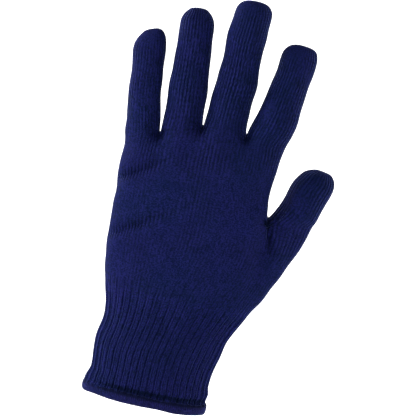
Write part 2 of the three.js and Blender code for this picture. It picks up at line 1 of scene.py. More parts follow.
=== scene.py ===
"""A navy knitted glove liner for the left hand, dressed over its frame.

Lengths are millimetres until a mesh is made. The origin is the centre of the cuff's mouth,
+Z runs up the arm to the fingertips, -Y is the back of the hand and +X is the thumb side.
The whole liner is one net of knitted columns. It is worked coarse, from the cuff up to the
fingertips, then smoothed, folded and knitted fine, and cut into the liner's sections.
"""

import logging
import math
from dataclasses import dataclass, field, fields
from enum import Enum

import bpy
import numpy as np
from mathutils import Matrix, Vector


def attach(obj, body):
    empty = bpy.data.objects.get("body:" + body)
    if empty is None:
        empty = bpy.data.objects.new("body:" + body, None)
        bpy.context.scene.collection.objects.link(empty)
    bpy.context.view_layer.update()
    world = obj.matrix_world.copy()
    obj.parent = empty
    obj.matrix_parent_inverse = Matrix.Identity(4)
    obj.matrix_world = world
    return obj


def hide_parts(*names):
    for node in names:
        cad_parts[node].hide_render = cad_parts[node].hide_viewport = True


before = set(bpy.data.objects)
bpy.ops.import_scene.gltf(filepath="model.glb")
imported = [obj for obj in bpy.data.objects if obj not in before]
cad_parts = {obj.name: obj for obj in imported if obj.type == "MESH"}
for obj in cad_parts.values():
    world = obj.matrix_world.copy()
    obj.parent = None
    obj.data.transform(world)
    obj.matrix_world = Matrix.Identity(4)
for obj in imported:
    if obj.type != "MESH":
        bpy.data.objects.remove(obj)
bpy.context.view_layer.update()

log = logging.getLogger("glove_liner")

METRES = 0.001  # in a millimetre
TAU = 2 * math.pi
TINY = 1e-12  # keeps the length of a vector from being 0
WALL = 1.5  # thickness of the knit
RIBS = 44  # round the cuff

Array = np.ndarray
Socket = bpy.types.NodeSocket
Colour = tuple[float, float, float]
Place = tuple[float, float, float]


class Section(Enum):
    """The knitted sections of the liner, by the names of their solids."""

    HEM = "hem"
    CUFF = "cuff"
    PALM = "palm"
    LITTLE = "little_finger"
    RING = "ring_finger"
    MIDDLE = "middle_finger"
    INDEX = "index_finger"
    THUMB = "thumb"


class Face(Enum):
    """The two faces of the hand, by the sign of Y on them."""

    BACK = -1
    PALM = 1


def ease(t: Array | float) -> Array | float:
    """A smooth step from 0 to 1.

    Args:
        t: Where on the step, which begins at 0 and is over at 1.

    Returns:
        The height of the step there.
    """
    t = np.clip(t, 0.0, 1.0)
    return t * t * (3 - 2 * t)


def mix(a: Array | float, b: Array | float, t: Array | float) -> Array | float:
    """The value a share t of the way from a to b."""
    return a + (b - a) * t


def gather(values: Array, places: Array, size: int) -> Array:
    """Adds up values that fall on the same place.

    Args:
        values: One row for each entry of places.
        places: The place that each row falls on.
        size: How many places there are.

    Returns:
        One summed row for each place.
    """
    flat = places.ravel()
    rows = values.reshape(len(flat), -1)
    sums = [np.bincount(flat, weights=column, minlength=size) for column in rows.T]
    return np.stack(sums, axis=1)


@dataclass(frozen=True)
class BodyRow:
    """One section of the cuff or the hand, in millimetres but for at and square."""

    at: float
    left: float
    right: float
    back: float
    palm: float
    square: float
    lean: float = 0.0

    def sized(self, width: float, depth: float) -> "BodyRow":
        """This row, given as shares of half a width and half a depth, in millimetres.

        Args:
            width: The width that left and right are shares of half of.
            depth: The depth that back and palm are shares of half of, and lean of all.

        Returns:
            The same row in millimetres.
        """
        return BodyRow(
            at=self.at,
            left=self.left * width / 2,
            right=self.right * width / 2,
            back=self.back * depth / 2,
            palm=self.palm * depth / 2,
            square=self.square,
            lean=self.lean * depth,
        )


@dataclass(frozen=True)
class DigitRow:
    """One section of a digit.

    at is a share of the digit's length, bow, width and depth are shares of its own width
    and depth, and tilt is the ring's turn from square to the digit, in degrees.
    """

    at: float
    bow: float
    width: float
    depth: float
    tilt: float = 0.0


def read(rows: list[BodyRow] | list[DigitRow], at: float) -> BodyRow | DigitRow:
    """A table of rows read at a share, on a smooth curve through its rows.

    Args:
        rows: The rows, in the order of their share.
        at: The share to read the table at.

    Returns:
        A row of the same kind, for that share.
    """
    last = len(rows) - 1
    i = 0
    while i < last - 1 and at > rows[i + 1].at:
        i += 1
    a, b, c, d = (rows[min(max(n, 0), last)] for n in (i - 1, i, i + 1, i + 2))
    span = c.at - b.at
    t = min(max((at - b.at) / span, 0.0), 1.0)
    made = {}
    for part in fields(b):
        v = [getattr(row, part.name) for row in (a, b, c, d)]
        before = (v[2] - v[0]) / (c.at - a.at) * span
        after = (v[3] - v[1]) / (d.at - b.at) * span
        made[part.name] = (
            v[1] * (2 * t**3 - 3 * t**2 + 1)
            + before * (t**3 - 2 * t**2 + t)
            + v[2] * (3 * t**2 - 2 * t**3)
            + after * (t**3 - t**2)
        )
    return type(b)(**made)


class Outline:
    """The closed outline of one section, from its left edge over the back of the hand."""

    SAMPLES = 720

    def __init__(self, row: BodyRow) -> None:
        """Draws the outline.

        Args:
            row: The section's sizes in millimetres.
        """
        middle = (row.right - row.left) / 2
        reach = (row.right + row.left) / 2
        angle = TAU * np.arange(self.SAMPLES) / self.SAMPLES
        c, s = -np.cos(angle), -np.sin(angle)
        x = middle + reach * np.sign(c) * np.abs(c) ** (2 / row.square)
        face = np.where(s < 0, row.back, row.palm)
        y = np.sign(s) * np.abs(s) ** (2 / row.square) * face
        y = y + row.lean * ease((x - middle) / reach)
        self.points = np.stack([x, y], axis=1)
        steps = np.linalg.norm(np.roll(self.points, -1, axis=0) - self.points, axis=1)
        self.length = float(steps.sum())
        self.share = np.concatenate([[0.0], np.cumsum(steps)]) / self.length

    def at(self, share: Array, out: Array | float = 0.0) -> Array:
        """Points of the outline.

        Args:
            share: The shares of the way round.
            out: How far each point is moved outwards.

        Returns:
            One x and y for each share.
        """
        want = np.mod(share, 1.0)
        i = np.clip(np.searchsorted(self.share, want, side="right") - 1, 0, self.SAMPLES - 1)
        a, b = self.points[i], self.points[(i + 1) % self.SAMPLES]
        t = (want - self.share[i]) / (self.share[i + 1] - self.share[i])
        way = (b - a) / np.linalg.norm(b - a, axis=1, keepdims=True)
        outwards = np.stack([way[:, 1], -way[:, 0]], axis=1)
        return mix(a, b, t[:, None]) + outwards * np.broadcast_to(out, t.shape)[:, None]

    def share_at(self, x: float, face: Face) -> float:
        """The share of the way round at which the outline crosses x.

        Args:
            x: Where it is crossed.
            face: On which face of the hand.

        Returns:
            The share of the way round.
        """
        half = self.SAMPLES // 2
        start = 0 if face is Face.BACK else half
        i = start + np.arange(half)
        a, b = self.points[i], self.points[(i + 1) % self.SAMPLES]
        n = int(np.argmax((a[:, 0] - x) * (b[:, 0] - x) <= 0))
        t = (x - a[n, 0]) / (b[n, 0] - a[n, 0])
        return float(mix(self.share[i[n]], self.share[i[n] + 1], t))


@dataclass(frozen=True)
class Crotch:
    """The place where the net divides between two digits."""

    column: int  # the net's column that leads up to it, on the back of the hand
    x: float
    z: float
    dimple: float  # how far the fabric sinks in beside it, on both faces


@dataclass(frozen=True)
class Digit:
    """One finger or the thumb.

    lean turns it from +Z towards +X, in degrees, and curl is how far its tip has bent
    towards the palm.
    """

    section: Section
    columns: int  # of the net, on its back
    length: float
    width: float
    depth: float
    lean: float
    curl: float
    rows: list[DigitRow] = field(repr=False)

    DOME_POWER = 3.0  # of the tip: 2 is round, more is flatter
    SQUARE = 2.1
    OVERLAP = Section.PALM  # the section that the first ring of a digit still belongs to


@dataclass(frozen=True)
class Fold:
    """A fold, roll, knuckle or pad of the hand.

    across is a share of half the palm's width and at a share of the height of the
    fingers' crotches. turn is from +X, in degrees. reach, spread and rise are shares of
    the palm's depth: half its length, half its breadth and how far it stands out.
    """

    face: Face
    across: float
    at: float
    turn: float
    reach: float
    spread: float
    rise: float
    squeeze: float = 0.0  # how tightly the wales are pressed together in it


@dataclass
class HandShape:
    """The sizes of the hand that fills the liner, and where its digits part.

    The webs run from the little finger's to the thumb's. The body rows' left and right are
    shares of half of a width, their back and palm of half of a depth, and at is a share of
    the length of the cuff, of the heel up to the thumb's crotch, or of the knuckles.
    """

    cuff_length: float = 67.0
    cuff_width: float = 74.2
    cuff_depth: float = 36.0
    heel_length: float = 57.0
    knuckle_length: float = 46.5
    palm_width: float = 94.0
    palm_depth: float = 30.0
    web_spread: float = 0.19  # a crotch's own length from back to palm, over palm_depth
    web_sag: float = 0.1  # how far its two ends hang below its middle, over palm_depth
    dimple_reach: float = 0.16  # how far a dimple spreads, over palm_depth
    last_ring_drop: float = 0.035  # from the crotches to the last ring, over knuckle_length
    fold_edge: float = 1.6  # how sharply a fold ends where the hand's side turns away
    fold_start: float = 12.4  # over what height above the cuff the folds come in
    squeeze_reach: float = 1.6  # how many times a fold's breadth is pressed together
    web_across: tuple[float, ...] = (-0.515, 0.0, 0.568, 1.064)  # over half of palm_width
    web_drop: tuple[float, ...] = (0.2, 0.0, 0.0)  # of the fingers' webs, over knuckle_length
    web_dimple: tuple[float, ...] = (0.2, 0.2, 0.2, 0.16)  # over palm_depth

    CUFF_ROWS = [
        BodyRow(at=0.0, left=1.023, right=0.942, back=1.0, palm=1.0, square=2.1),
        BodyRow(at=0.1, left=1.013, right=0.962, back=0.99, palm=0.99, square=2.1),
        BodyRow(at=0.175, left=0.992, right=0.972, back=0.96, palm=0.97, square=2.1),
        BodyRow(at=0.26, left=0.989, right=0.96, back=0.95, palm=0.96, square=2.1),
        BodyRow(at=0.36, left=0.997, right=0.985, back=0.95, palm=0.96, square=2.1),
        BodyRow(at=0.46, left=1.01, right=1.018, back=0.96, palm=0.97, square=2.1),
        BodyRow(at=0.55, left=0.985, right=1.056, back=0.97, palm=0.99, square=2.1),
        BodyRow(at=0.7, left=0.943, right=1.124, back=0.97, palm=1.02, square=2.15),
        BodyRow(at=0.82, left=0.96, right=1.222, back=0.96, palm=1.06, square=2.2),
        BodyRow(at=0.91, left=0.992, right=1.318, back=0.945, palm=1.07, square=2.25),
        BodyRow(at=1.0, left=1.03, right=1.404, back=0.93, palm=1.08, square=2.3),
    ]
    HEEL_ROWS = [
        BodyRow(at=0.17, left=0.862, right=1.226, back=1.07, palm=1.3, square=2.3, lean=0.05),
        BodyRow(at=0.35, left=0.889, right=1.332, back=1.02, palm=1.27, square=2.35, lean=0.1),
        BodyRow(at=0.52, left=0.909, right=1.43, back=0.98, palm=1.2, square=2.4, lean=0.15),
        BodyRow(at=0.7, left=0.917, right=1.53, back=0.96, palm=1.12, square=2.4, lean=0.19),
        BodyRow(at=0.85, left=0.918, right=1.59, back=0.95, palm=1.06, square=2.4, lean=0.21),
        BodyRow(at=1.0, left=0.928, right=1.648, back=0.94, palm=1.0, square=2.4, lean=0.22),
    ]
    KNUCKLE_ROWS = [
        BodyRow(at=0.22, left=0.943, right=1.013, back=0.93, palm=0.97, square=2.5),
        BodyRow(at=0.45, left=0.94, right=1.021, back=0.91, palm=0.93, square=2.5),
        BodyRow(at=0.68, left=0.93, right=1.043, back=0.87, palm=0.88, square=2.45),
        BodyRow(at=0.86, left=0.943, right=1.068, back=0.8, palm=0.82, square=2.4),
        BodyRow(at=1.0, left=0.972, right=1.1, back=0.72, palm=0.76, square=2.3),
    ]
    FOLDS = [
        Fold(Face.BACK, across=-0.72, at=0.795, turn=32, reach=0.5, spread=0.13, rise=-0.045),
        Fold(Face.BACK, across=-0.76, at=0.833, turn=32, reach=0.45, spread=0.15, rise=0.04),
        Fold(Face.BACK, across=-0.62, at=0.602, turn=31, reach=0.55, spread=0.13, rise=-0.045),
        Fold(Face.BACK, across=-0.68, at=0.64, turn=31, reach=0.5, spread=0.15, rise=0.035),
        Fold(Face.BACK, across=1.12, at=0.665, turn=82, reach=0.75, spread=0.17, rise=-0.1),
        Fold(Face.BACK, across=-0.76, at=0.9, turn=96, reach=0.42, spread=0.2, rise=0.035),
        Fold(Face.BACK, across=-0.27, at=0.93, turn=92, reach=0.48, spread=0.24, rise=0.045),
        Fold(Face.BACK, across=0.28, at=0.94, turn=88, reach=0.5, spread=0.26, rise=0.05),
        Fold(Face.BACK, across=0.82, at=0.92, turn=80, reach=0.46, spread=0.24, rise=0.045),
        Fold(Face.PALM, across=0.75, at=0.5, turn=62, reach=1.1, spread=0.55, rise=0.16),
        Fold(Face.PALM, across=-0.62, at=0.48, turn=92, reach=1.2, spread=0.5, rise=0.1),
        Fold(Face.PALM, across=0.05, at=0.66, turn=80, reach=0.9, spread=0.5, rise=-0.13),
        Fold(Face.BACK, across=-0.72, at=0.795, turn=31, reach=0.62, spread=0.05, rise=-0.035, squeeze=1.0),
        Fold(Face.BACK, across=-0.6, at=0.612, turn=31, reach=0.75, spread=0.05, rise=-0.03, squeeze=0.95),
        Fold(Face.BACK, across=1.136, at=0.672, turn=109, reach=0.38, spread=0.05, rise=-0.09, squeeze=1.0),
    ]
    LITTLE = [
        DigitRow(at=0.1, bow=0.0, width=1.02, depth=1.0),
        DigitRow(at=0.28, bow=-0.05, width=1.0, depth=1.0),
        DigitRow(at=0.48, bow=-0.07, width=1.0, depth=0.97),
        DigitRow(at=0.64, bow=-0.06, width=0.97, depth=0.94, tilt=-3),
        DigitRow(at=0.77, bow=-0.08, width=1.03, depth=0.93, tilt=-7),
        DigitRow(at=0.88, bow=-0.085, width=0.96, depth=0.84, tilt=-11),
        DigitRow(at=0.955, bow=-0.065, width=0.71, depth=0.6, tilt=-13),
    ]
    RING = [
        DigitRow(at=0.09, bow=0.01, width=1.05, depth=1.0),
        DigitRow(at=0.27, bow=0.01, width=1.08, depth=1.02),
        DigitRow(at=0.44, bow=0.02, width=1.0, depth=0.98),
        DigitRow(at=0.61, bow=0.02, width=0.97, depth=0.95),
        DigitRow(at=0.78, bow=0.015, width=0.965, depth=0.93),
        DigitRow(at=0.9, bow=0.0, width=0.92, depth=0.86, tilt=-2),
        DigitRow(at=0.965, bow=0.005, width=0.65, depth=0.6, tilt=-3),
    ]
    MIDDLE = [
        DigitRow(at=0.07, bow=-0.02, width=1.03, depth=1.0),
        DigitRow(at=0.24, bow=-0.01, width=1.02, depth=1.02),
        DigitRow(at=0.39, bow=0.01, width=1.04, depth=1.0),
        DigitRow(at=0.53, bow=-0.02, width=0.94, depth=0.94),
        DigitRow(at=0.68, bow=-0.035, width=0.965, depth=0.94),
        DigitRow(at=0.84, bow=-0.015, width=0.945, depth=0.9, tilt=-1),
        DigitRow(at=0.93, bow=-0.015, width=0.91, depth=0.8, tilt=-2),
        DigitRow(at=0.977, bow=-0.015, width=0.7, depth=0.54, tilt=-2),
    ]
    INDEX = [
        DigitRow(at=0.1, bow=0.03, width=1.11, depth=1.02),
        DigitRow(at=0.27, bow=0.06, width=1.07, depth=1.02, tilt=2),
        DigitRow(at=0.44, bow=0.04, width=0.97, depth=0.97, tilt=4),
        DigitRow(at=0.6, bow=0.04, width=0.965, depth=0.94, tilt=4),
        DigitRow(at=0.76, bow=0.025, width=0.96, depth=0.92, tilt=2),
        DigitRow(at=0.89, bow=0.005, width=0.94, depth=0.82, tilt=-1),
        DigitRow(at=0.965, bow=0.005, width=0.74, depth=0.58, tilt=-4),
    ]
    THUMB = [
        DigitRow(at=0.16, bow=0.05, width=1.06, depth=1.02, tilt=-9),
        DigitRow(at=0.38, bow=0.03, width=1.04, depth=1.0, tilt=-2),
        DigitRow(at=0.6, bow=0.005, width=1.06, depth=0.98),
        DigitRow(at=0.79, bow=0.035, width=0.95, depth=0.92, tilt=-4),
        DigitRow(at=0.9, bow=0.02, width=0.78, depth=0.8, tilt=-10),
        DigitRow(at=0.965, bow=0.03, width=0.54, depth=0.56, tilt=-11),
    ]
    DIGITS = [
        Digit(Section.LITTLE, columns=5, length=59.8, width=19.4, depth=17.6, lean=-5, curl=7, rows=LITTLE),
        Digit(Section.RING, columns=5, length=68.1, width=21.8, depth=19.2, lean=-4, curl=7, rows=RING),
        Digit(Section.MIDDLE, columns=6, length=78.9, width=24, depth=20.6, lean=2.2, curl=6, rows=MIDDLE),
        Digit(Section.INDEX, columns=6, length=59.8, width=22.6, depth=19.8, lean=9.8, curl=9, rows=INDEX),
        Digit(Section.THUMB, columns=5, length=36.5, width=23.2, depth=21.4, lean=20, curl=3, rows=THUMB),
    ]
    PIT_REACH = 2.6  # of the deep middle of a dimple, which is painted dark as shade
    PIT_DEPTH = 1.8
    PIT_DROP = 1.6  # from the crotch down to its middle

    def __post_init__(self) -> None:
        """Works out the heights, the crotches and the sections in millimetres."""
        self.thumb_crotch_z = self.cuff_length + self.heel_length
        self.knuckle_z = self.thumb_crotch_z + self.knuckle_length
        counts = [digit.columns for digit in self.DIGITS]
        self.body_columns = sum(counts)
        self.hand_columns = sum(counts[:-1])
        self.first = [sum(counts[:n]) for n in range(len(counts))]
        heights = [self.knuckle_z - drop * self.knuckle_length for drop in self.web_drop]
        self.crotches = [
            Crotch(
                column=self.first[n + 1],
                x=across * self.palm_width / 2,
                z=z,
                dimple=dimple * self.palm_depth,
            )
            for n, (across, z, dimple) in enumerate(
                zip(self.web_across, [*heights, self.thumb_crotch_z], self.web_dimple)
            )
        ]
        self.cuff_rows = [row.sized(self.cuff_width, self.cuff_depth) for row in self.CUFF_ROWS]
        heel = [row.sized(self.palm_width, self.palm_depth) for row in self.HEEL_ROWS]
        knuckle = [row.sized(self.palm_width, self.palm_depth) for row in self.KNUCKLE_ROWS]
        self.heel_rows = [self.restarted(self.cuff_rows[-1]), *heel]
        self.knuckle_rows = [
            self.restarted(heel[-1], right=self.crotches[-1].x, lean=0.0),
            *knuckle,
        ]

    @staticmethod
    def restarted(row: BodyRow, **changes: float) -> BodyRow:
        """The last row of one part of the body as the first row of the next."""
        values = {part.name: getattr(row, part.name) for part in fields(row)}
        return BodyRow(**{**values, "at": 0.0, **changes})

    def near_fold(self, fold: Fold, points: Array, normals: Array, wider: float = 1.0) -> Array:
        """How strongly a fold acts on the fabric.

        Args:
            fold: The fold.
            points: Points of the hand's plain form.
            normals: The outward normals there.
            wider: How many times its breadth it reaches.

        Returns:
            From 0 far from it to 1 on its middle, for each point.
        """
        dx = points[:, 0] - fold.across * self.palm_width / 2
        dz = points[:, 2] - fold.at * self.knuckle_z
        c, s = math.cos(math.radians(fold.turn)), math.sin(math.radians(fold.turn))
        along = (dx * c + dz * s) / (fold.reach * self.palm_depth)
        across = (dz * c - dx * s) / (fold.spread * self.palm_depth * wider)
        facing = ease(normals[:, 1] * fold.face.value * self.fold_edge)
        return facing * np.exp(-(along**2) - across**2)

    def relief(self, points: Array, normals: Array) -> Array:
        """How far the folds, knuckles and pads stand out.

        Args:
            points: Points of the hand's plain form.
            normals: The outward normals there.

        Returns:
            One distance along the normal for each point.
        """
        total = np.zeros(len(points))
        for fold in self.FOLDS:
            total += self.near_fold(fold, points, normals) * fold.rise * self.palm_depth
        return total * ease((points[:, 2] - self.cuff_length) / self.fold_start)

    def squeeze(self, points: Array, normals: Array) -> Array:
        """How tightly the folds press the wales together.

        Args:
            points: Points of the hand's plain form.
            normals: The outward normals there.

        Returns:
            From 0 to 1 for each point.
        """
        total = np.zeros(len(points))
        for fold in self.FOLDS:
            if fold.squeeze:
                near = self.near_fold(fold, points, normals, wider=self.squeeze_reach)
                total += fold.squeeze * near
        return np.clip(total, 0, 1)

    def pit(self, points: Array) -> Array:
        """How near the fabric is to the deep middle of a crotch's dimple, which the liner paints dark as
        shade.

        Args:
            points: Points of the hand's plain form.

        Returns:
            From 0 far from all of them to 1 on one, for each point.
        """
        nearness = np.zeros(len(points))
        for crotch in self.crotches:
            below = points[:, 2] - crotch.z + self.PIT_DROP
            away = np.hypot(points[:, 0] - crotch.x, below) / self.PIT_REACH
            nearness = np.maximum(nearness, np.exp(-(away**2)))
        return nearness

    def dimple(self, points: Array) -> Array:
        """How far the fabric sinks in beside the crotches.

        Args:
            points: Points of the hand's plain form.

        Returns:
            One depth for each point.
        """
        depth = np.zeros(len(points))
        for crotch in self.crotches:
            away = np.hypot(points[:, 0] - crotch.x, points[:, 2] - crotch.z)
            away = away / (self.dimple_reach * self.palm_depth)
            depth = np.maximum(depth, crotch.dimple * np.exp(-(away**2)))
        return depth + self.PIT_DEPTH * self.pit(points)


@dataclass
class Fabric:
    """Quads of fabric, with the column, the course and the stitch strength at each corner.

    The corners of a quad run along the columns first: left and right below, then right and
    left above. domed marks the quads of a fingertip, which are divided both ways.
    """

    points: Array
    quads: Array
    knit: Array
    section: Array
    domed: Array

    def edge_keys(self, start: Array, end: Array) -> Array:
        """One number for each edge, the same from both of its sides."""
        return np.minimum(start, end) * len(self.points) + np.maximum(start, end)

    def normals(self) -> Array:
        """The directions that the fabric faces.

        Returns:
            One outward unit normal for each point.
        """
        a, b, c, d = (self.points[self.quads[:, n]] for n in range(4))
        faces = np.repeat(np.cross(c - a, d - b), 4, axis=0)
        sums = gather(faces, self.quads, len(self.points))
        return sums / np.maximum(np.linalg.norm(sums, axis=1, keepdims=True), TINY)

    def quartered(self, points: Array, middle: Array, sides: list[Array], chosen: Array) -> "Fabric":
        """Every chosen quad cut into four.

        Args:
            points: All the points of the finer fabric.
            middle: The point in the middle of each chosen quad.
            sides: The points in the middle of its four edges.
            chosen: Which quads are cut.

        Returns:
            The four smaller quads of each.
        """
        q = self.quads[chosen].T
        e, f = sides, middle
        k = self.knit[chosen]
        h = [(k[:, n] + k[:, (n + 1) % 4]) / 2 for n in range(4)]
        m = k.mean(axis=1)
        corners = [
            ([q[0], e[0], f, e[3]], [k[:, 0], h[0], m, h[3]]),
            ([e[0], q[1], e[1], f], [h[0], k[:, 1], h[1], m]),
            ([f, e[1], q[2], e[2]], [m, h[1], k[:, 2], h[2]]),
            ([e[3], f, e[2], q[3]], [h[3], m, h[2], k[:, 3]]),
        ]
        return Fabric(
            points=points,
            quads=np.concatenate([np.stack(quad, axis=1) for quad, _ in corners]),
            knit=np.concatenate([np.stack(knit, axis=1) for _, knit in corners]),
            section=np.tile(self.section[chosen], 4),
            domed=np.tile(self.domed[chosen], 4),
        )

    def smoothed(self) -> tuple["Fabric", "Halves"]:
        """The fabric with every quad cut into four and its shape rounded.

        Returns:
            The finer fabric, and the middles of the edges it was cut at.
        """
        size = len(self.points)
        faces = self.points[self.quads].mean(axis=1)
        keys = self.edge_keys(self.quads, np.roll(self.quads, -1, axis=1))
        known, which = np.unique(keys, return_inverse=True)
        which = which.reshape(keys.shape)
        low, high = known // size, known % size
        uses = np.bincount(which.ravel(), minlength=len(known))
        halves = (self.points[low] + self.points[high]) / 2
        beside = gather(np.repeat(faces, 4, axis=0), which, len(known))
        inner = uses == 2
        edges = np.where(inner[:, None], (2 * halves + beside) / 4, halves)

        ends = np.stack([low, high], axis=1)
        number = np.bincount(ends.ravel(), minlength=size)[:, None]
        spokes = gather(np.repeat(halves, 2, axis=0), ends, size) / number
        around = np.bincount(self.quads.ravel(), minlength=size)[:, None]
        fans = gather(np.repeat(faces, 4, axis=0), self.quads, size) / around
        moved = (fans + 2 * spokes + (number - 3) * self.points) / number
        border = ends[~inner]
        at_border = np.unique(border)
        pair = gather(np.repeat(halves[~inner], 2, axis=0), border, size)
        moved[at_border] = (pair[at_border] + 2 * self.points[at_border]) / 4

        points = np.concatenate([moved, edges, faces])
        middle = size + len(known) + np.arange(len(faces))
        sides = [size + which[:, n] for n in range(4)]
        every = np.ones(len(self.quads), dtype=bool)
        return self.quartered(points, middle, sides, every), Halves(size, known)

    def narrowed(self) -> tuple["Fabric", "Halves"]:
        """The fabric with its columns halved, and the fingertips halved both ways.

        Returns:
            The finer fabric, and the middles of the edges it was cut at.
        """
        size = len(self.points)
        normals = self.normals()
        q = self.quads
        below, above = self.edge_keys(q[:, 0], q[:, 1]), self.edge_keys(q[:, 3], q[:, 2])
        tips = q[self.domed]
        right, left = self.edge_keys(tips[:, 1], tips[:, 2]), self.edge_keys(tips[:, 0], tips[:, 3])
        known = np.unique(np.concatenate([below, above, right, left]))
        low, high = known // size, known % size
        chord = self.points[high] - self.points[low]
        bend = np.einsum("ij,ij->i", chord, normals[high] - normals[low]) / 8
        mean = normals[low] + normals[high]
        mean = mean / np.linalg.norm(mean, axis=1, keepdims=True)
        halves = (self.points[low] + self.points[high]) / 2 + mean * bend[:, None]
        below, above, right, left = (
            size + np.searchsorted(known, keys) for keys in (below, above, right, left)
        )

        made = np.concatenate([self.points, halves])
        sides = [below[self.domed], right, above[self.domed], left]
        opposite = sum(made[side] for side in sides) / 2
        centres = opposite - self.points[tips].mean(axis=1)
        points = np.concatenate([made, centres])
        middle = len(made) + np.arange(len(tips))
        domes = self.quartered(points, middle, sides, self.domed)

        plain = ~self.domed
        p, k = q[plain], self.knit[plain]
        low_k, high_k = (k[:, 0] + k[:, 1]) / 2, (k[:, 3] + k[:, 2]) / 2
        low_e, high_e = below[plain], above[plain]
        quads = [
            np.stack([p[:, 0], low_e, high_e, p[:, 3]], axis=1),
            np.stack([low_e, p[:, 1], p[:, 2], high_e], axis=1),
        ]
        knit = [
            np.stack([k[:, 0], low_k, high_k, k[:, 3]], axis=1),
            np.stack([low_k, k[:, 1], k[:, 2], high_k], axis=1),
        ]
        made_fabric = Fabric(
            points=points,
            quads=np.concatenate([*quads, domes.quads]),
            knit=np.concatenate([*knit, domes.knit]),
            section=np.concatenate([np.tile(self.section[plain], 2), domes.section]),
            domed=np.concatenate([np.zeros(2 * len(p), dtype=bool), domes.domed]),
        )
        return made_fabric, Halves(size, known)


@dataclass(frozen=True)
class Halves:
    """The middles of the edges that one cutting of the fabric made."""

    size: int  # how many points the fabric had before
    known: Array

    def of(self, start: Array, end: Array) -> Array:
        """The middle of each edge.

        Args:
            start: The point at which each edge starts.
            end: The point at which it ends.

        Returns:
            The number of the point in its middle.
        """
        keys = np.minimum(start, end) * self.size + np.maximum(start, end)
        return self.size + np.searchsorted(self.known, keys)


